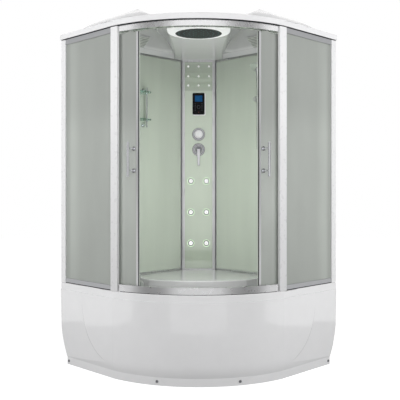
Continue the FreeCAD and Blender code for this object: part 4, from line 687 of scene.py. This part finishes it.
def on_arc(angle, radius):
    """Point in plan on a circle about the front arc's centre."""
    return radius * math.sin(angle), ARC_CENTRE_Y - radius * math.cos(angle)


def front_path(face, back):
    """(inner, outer) points along the left flat, the arc and the right flat.

    face and back are insets from the roof's edge."""
    insets = (back, face)
    along = math.cos(FLAT_ANGLE)
    kink = on_arc(KINK_ANGLE, ARC_RADIUS)

    def on_flat(side, reach):
        return [(side * (kink[0] + (reach - inset) * along), kink[1] + (reach + inset) * along)
                for inset in insets]

    path = [on_flat(-1, GASKET_LENGTH), on_flat(-1, GASKET_BEND)]
    for step in range(1, ARC_STEPS):
        angle = KINK_ANGLE * (2 * step / ARC_STEPS - 1)
        path.append([on_arc(angle, ARC_RADIUS - inset) for inset in insets])
    return path + [on_flat(1, GASKET_BEND), on_flat(1, GASKET_LENGTH)]


def detail(name, mesh, material, slot, smooth=True):
    """Turn a finished mesh into a piece that rides on the cabin."""
    bmesh.ops.recalc_face_normals(mesh, faces=mesh.faces)
    data = bpy.data.meshes.new(name)
    mesh.to_mesh(data)
    mesh.free()
    data.materials.append(MATERIALS[material])
    if smooth:
        data.shade_smooth()
    piece = bpy.data.objects.new(name, data)
    bpy.context.collection.objects.link(piece)
    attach(piece, "cabin")


def box_middle(node):
    """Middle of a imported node's box."""
    low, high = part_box(node)
    return [(a + b) / 2 for a, b in zip(low, high)]


def jet_rings():
    """Light rings on the flanges of the six back jets."""
    mesh = bmesh.new()
    shoulder = RING_PROUD - RING_BEVEL
    profile = ((RING_INNER, 0), (RING_INNER, shoulder), (RING_INNER + RING_BEVEL, RING_PROUD),
               (RING_OUTER - RING_BEVEL * 2, RING_PROUD), (RING_OUTER, shoulder), (RING_OUTER, 0))
    for jet in JETS:
        middle = box_middle(jet)
        turned_ring(mesh, profile, (middle[0], RING_FACE_Y, middle[2]))
    detail("jet_rings", mesh, "jet_glow", "white_plastic")


def rain_tips():
    """Silicone tips in the holes of the rain shower."""
    mesh = bmesh.new()
    low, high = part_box("rain_head")
    middle = box_middle("rain_head")
    radius = (high[0] - low[0]) / 2
    for row in range(1, RAIN_ROWS + 1):
        reach = radius * row / (RAIN_ROWS + RAIN_RIM_SHARE)
        for across, along in around(row * RAIN_FIRST_RING):
            centre = (middle[0] + reach * across, middle[1] + reach * along, low[2] + HOLE_DEPTH)
            hanging_dome(mesh, TIP_RADIUS, TIP_HEIGHT + HOLE_DEPTH, centre)
    detail("rain_tips", mesh, "tip_silicone", "dark_plastic")


def gaskets():
    """Dark gaskets under the roof and the flat sides' sills, and a bead at the rail's foot."""
    mesh = bmesh.new()
    strip(mesh, front_path(GASKET_FACE, GASKET_BACK), HEADER_TOP + SLIT, ROOF_LOW - SLIT)
    detail("roof_gasket", mesh, "gasket", "dark_plastic", smooth=False)
    mesh = bmesh.new()
    path = front_path(SILL_GASKET_FACE, SILL_GASKET_BACK)
    for flat in (path[:2], path[-2:]):
        strip(mesh, flat, TRAY_TOP + SLIT, TRAY_TOP + SILL_GAP - SLIT)
    detail("sill_gaskets", mesh, "gasket", "dark_plastic", smooth=False)
    mesh = bmesh.new()
    path = front_path(BEAD_FACE, BEAD_BACK)[BEAD_STEPS_LEFT_OUT:-BEAD_STEPS_LEFT_OUT]
    strip(mesh, path, TRAY_TOP + SLIT, TRAY_TOP + BEAD_HEIGHT)
    detail("rail_bead", mesh, "gasket", "dark_plastic", smooth=False)


def panel_details():
    """Pale plate behind the panel, shifted to show only at its right and bottom as a painted
    highlight, the caps of its keys and the ring of its dial.
    """
    low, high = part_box("control_panel")
    mesh = bmesh.new()
    # The plate is shifted right and down, so that its pale edge paints a highlight at the panel's
    # right and bottom.
    rounded_plate(mesh, (low[0] + PLATE_SHIFT, low[2] - PLATE_BORDER),
                  (high[0] + PLATE_BORDER, high[2] - PLATE_SHIFT), PLATE_RADIUS,
                  COLUMN_FACE_Y - PLATE_PROUD, COLUMN_FACE_Y - PLATE_LIFT)
    detail("panel_plate", mesh, "white_plastic", "white_plastic", smooth=False)
    face = low[1] - SLIT
    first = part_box("control_screen")[0][2] - KEY_PITCH_Z
    mesh = bmesh.new()
    for row in range(KEY_ROWS):
        for side in (-1, 1):
            turned_cap(mesh, (side * KEY_PITCH_X, face, first - row * KEY_PITCH_Z))
    detail("key_caps", mesh, "key_plastic", "black_plastic")
    mesh = bmesh.new()
    turned_cap(mesh, (0, face, first - KEY_ROWS * KEY_PITCH_Z))
    detail("power_key_cap", mesh, "power_key", "black_plastic")
    mesh = bmesh.new()
    turned_ring(mesh, band(DIAL_RADIUS - KEY_RADIUS, DIAL_RADIUS, SLIT * 2),
                (0, face, first - KEY_PITCH_Z * (KEY_ROWS - 1) / 2))
    detail("dial_ring", mesh, "key_plastic", "black_plastic")


def rose_rims():
    """Dark turned rings round the roses of the mixer and the diverter: painted dark reflections on
    the chrome.
    """
    mesh = bmesh.new()
    low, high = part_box("mixer_roses")
    radius = high[0]
    for z in (low[2] + radius, high[2] - radius):
        for reach, back in ((radius - RIM_WIDTH, ROSE_RIM_BACK), (radius * ROSE_STEP_SHARE, 0)):
            turned_ring(mesh, band(reach, reach + RIM_WIDTH, SLIT * 2), (0, low[1] + back, z))
    detail("rose_rims", mesh, "dark_chrome", "chrome_trim")


jet_rings()
rain_tips()
gaskets()
panel_details()
rose_rims()


# Stage: a white room, dark flags at both sides of the front and a grey card on the floor

FLOOR_SIZE = 14.0
FLOOR_DROP = 0.0005
FLOOR_GREYS = (0.47, 0.49)
FLOOR_ROUGHNESS = 0.9
FLOOR_LIFT = 0.82
LEVEL_AROUND = 0.58
LEVEL_OVERHEAD = 0.15
FLAG_FRONT_Y = FRONT_Y - 1.3
FLAG_HALF = 0.77
FLAG_SIDE_X = 1.95
FLAG_SIDE_Y = FRONT_Y - 0.75
FLAG_HEIGHT = 3.0
FLAG_STOPS = ((0.0, 0.5), (0.5, 0.3), (1.0, 0.5))
GRIP_LOW = 0.9
GRIP_HIGH = 1.6
GRIP_FAR = (2.3, -0.35)
GRIP_STOPS = ((0.0, 0.12), (1.0, 0.12))
CARD_FAR_Y = 1.2
CARD_LIFT = 0.001
CARD_STOPS = ((0.0, 0.5), (1.0, 0.5))

# Name, place, target, size in metres and power in watts
LAMPS = (
    ("front", (0, -3.1, 2.6), (0, 0, 1.6), (2.6, 1.6), 28),
    ("left", (-3.0, -1.6, 1.7), (0, 0, 1.1), (2.4, 1.8), 47),
    ("right", (3.0, -1.6, 1.7), (0, 0, 1.1), (2.4, 1.8), 49),
    ("above", (0, 0.3, 4.4), (0, 0.1, 2.1), (1.6, 1.6), 18),
    ("inside", (0, -0.35, 1.94), (0, 0.2, 0.9), (0.35, 0.35), 0.6),
    ("doorway", (0, -0.56, 1.15), (0, 0.5, 1.15), (0.5, 0.9), 5.1),
)


def floor():
    """Pale floor that keeps the object's shadow and glows only where it is seen."""
    bpy.ops.mesh.primitive_plane_add(size=FLOOR_SIZE, location=(0, FLOOR_SIZE / 4, -FLOOR_DROP))
    piece = bpy.context.object
    piece.name = "floor"
    material = Material("floor")
    dark, pale = [(level,) * 3 for level in FLOOR_GREYS]
    material.paint(material.mottle(material.noise(3.0), dark, pale))
    material.set(Roughness=FLOOR_ROUGHNESS)
    lift = material.add("ShaderNodeEmission")
    lift.inputs["Strength"].default_value = FLOOR_LIFT
    both = material.add("ShaderNodeAddShader")
    material.link(material.shader.outputs[0], both.inputs[0])
    material.link(lift.outputs[0], both.inputs[1])
    choice = material.add("ShaderNodeMixShader")
    material.link(material.seen(), choice.inputs[0])
    material.link(material.shader.outputs[0], choice.inputs[1])
    material.link(both.outputs[0], choice.inputs[2])
    material.link(choice.outputs[0], material.surface)
    piece.data.materials.append(material.material)


def world():
    """White where it is seen, and a soft light that falls off towards the zenith."""
    studio = bpy.data.worlds.new("studio")
    studio.use_nodes = True
    bpy.context.scene.world = studio
    nodes = Nodes(studio.node_tree)
    back = nodes.tree.nodes["Background"]
    back.inputs["Color"].default_value = (1, 1, 1, 1)
    split = nodes.add("ShaderNodeSeparateXYZ")
    nodes.link(nodes.add("ShaderNodeTexCoord").outputs["Generated"], split.inputs[0])
    light = nodes.spread(split.outputs["Z"], 0.0, 1.0, LEVEL_AROUND, LEVEL_OVERHEAD)
    nodes.link(nodes.spread(nodes.seen(), 0.0, 1.0, light, 1.0), back.inputs["Strength"])


def soft_lamp(name, place, target, size, power):
    """Rectangular lamp, hidden from the camera and from gloss."""
    lamp = bpy.data.lights.new(name, "AREA")
    lamp.shape = "RECTANGLE"
    lamp.size, lamp.size_y = size
    lamp.energy = power
    piece = bpy.data.objects.new(name, lamp)
    bpy.context.collection.objects.link(piece)
    piece.location = place
    aim = Vector(target) - Vector(place)
    piece.rotation_euler = aim.to_track_quat("-Z", "Y").to_euler()
    piece.visible_camera = False
    piece.visible_glossy = False


def card(name, corners, stops):
    """Flat card that shows in gloss only, shaded by reach from FLAG_HALF to FLAG_SIDE_X."""
    mesh = bmesh.new()
    mesh.faces.new([mesh.verts.new(corner) for corner in corners])
    data = bpy.data.meshes.new(name)
    mesh.to_mesh(data)
    mesh.free()
    material = Material(name)
    reach = material.spread(material.reach(), FLAG_HALF, FLAG_SIDE_X)
    lamp = material.add("ShaderNodeEmission")
    material.link(material.ramp(reach, grey_stops(stops), smooth=True), lamp.inputs["Color"])
    material.link(lamp.outputs[0], material.surface)
    data.materials.append(material.material)
    piece = bpy.data.objects.new(name, data)
    bpy.context.collection.objects.link(piece)
    piece.visible_camera = False
    piece.visible_diffuse = False
    piece.visible_transmission = False
    piece.visible_shadow = False


def standing(near, far, low, high):
    """Corners of an upright card between two places in plan."""
    return [(*near, low), (*far, low), (*far, high), (*near, high)]


def flags():
    """Dark flags left and right, darker ones at the height of the handles, and a floor card."""
    for side, name in ((-1, "flag_left"), (1, "flag_right")):
        near = (side * FLAG_HALF, FLAG_FRONT_Y)
        bend = (side * FLAG_SIDE_X, FLAG_SIDE_Y)
        far = (side * GRIP_FAR[0], GRIP_FAR[1])
        card(name, standing(near, bend, 0, FLAG_HEIGHT), FLAG_STOPS)
        card(name + "_grip", standing(bend, far, GRIP_LOW, GRIP_HIGH), GRIP_STOPS)
    outline = [(-FLAG_HALF, FLAG_FRONT_Y), (FLAG_HALF, FLAG_FRONT_Y),
               (FLAG_SIDE_X, FLAG_SIDE_Y), (FLAG_SIDE_X, CARD_FAR_Y),
               (-FLAG_SIDE_X, CARD_FAR_Y), (-FLAG_SIDE_X, FLAG_SIDE_Y)]
    card("floor_card", [(*corner, CARD_LIFT) for corner in outline], CARD_STOPS)


def camera():
    """Camera at the photograph's eye, with its lens and its shift."""
    data = bpy.data.cameras.new("camera")
    data.sensor_fit = "HORIZONTAL"
    data.sensor_width = SENSOR
    data.lens = SENSOR * FOCAL_PIXELS / IMAGE_PIXELS
    data.shift_x = (IMAGE_PIXELS / 2 - PRINCIPAL_COLUMN) / IMAGE_PIXELS
    data.shift_y = (HORIZON_ROW - IMAGE_PIXELS / 2) / IMAGE_PIXELS
    piece = bpy.data.objects.new("camera", data)
    bpy.context.collection.objects.link(piece)
    piece.location = (0, FRONT_Y - EYE_DISTANCE, EYE_HEIGHT)
    piece.rotation_euler = (math.pi / 2, 0, 0)
    bpy.context.scene.camera = piece


floor()
world()
flags()
for lamp in LAMPS:
    soft_lamp(*lamp)
camera()
bpy.context.scene.view_settings.view_transform = "Standard"
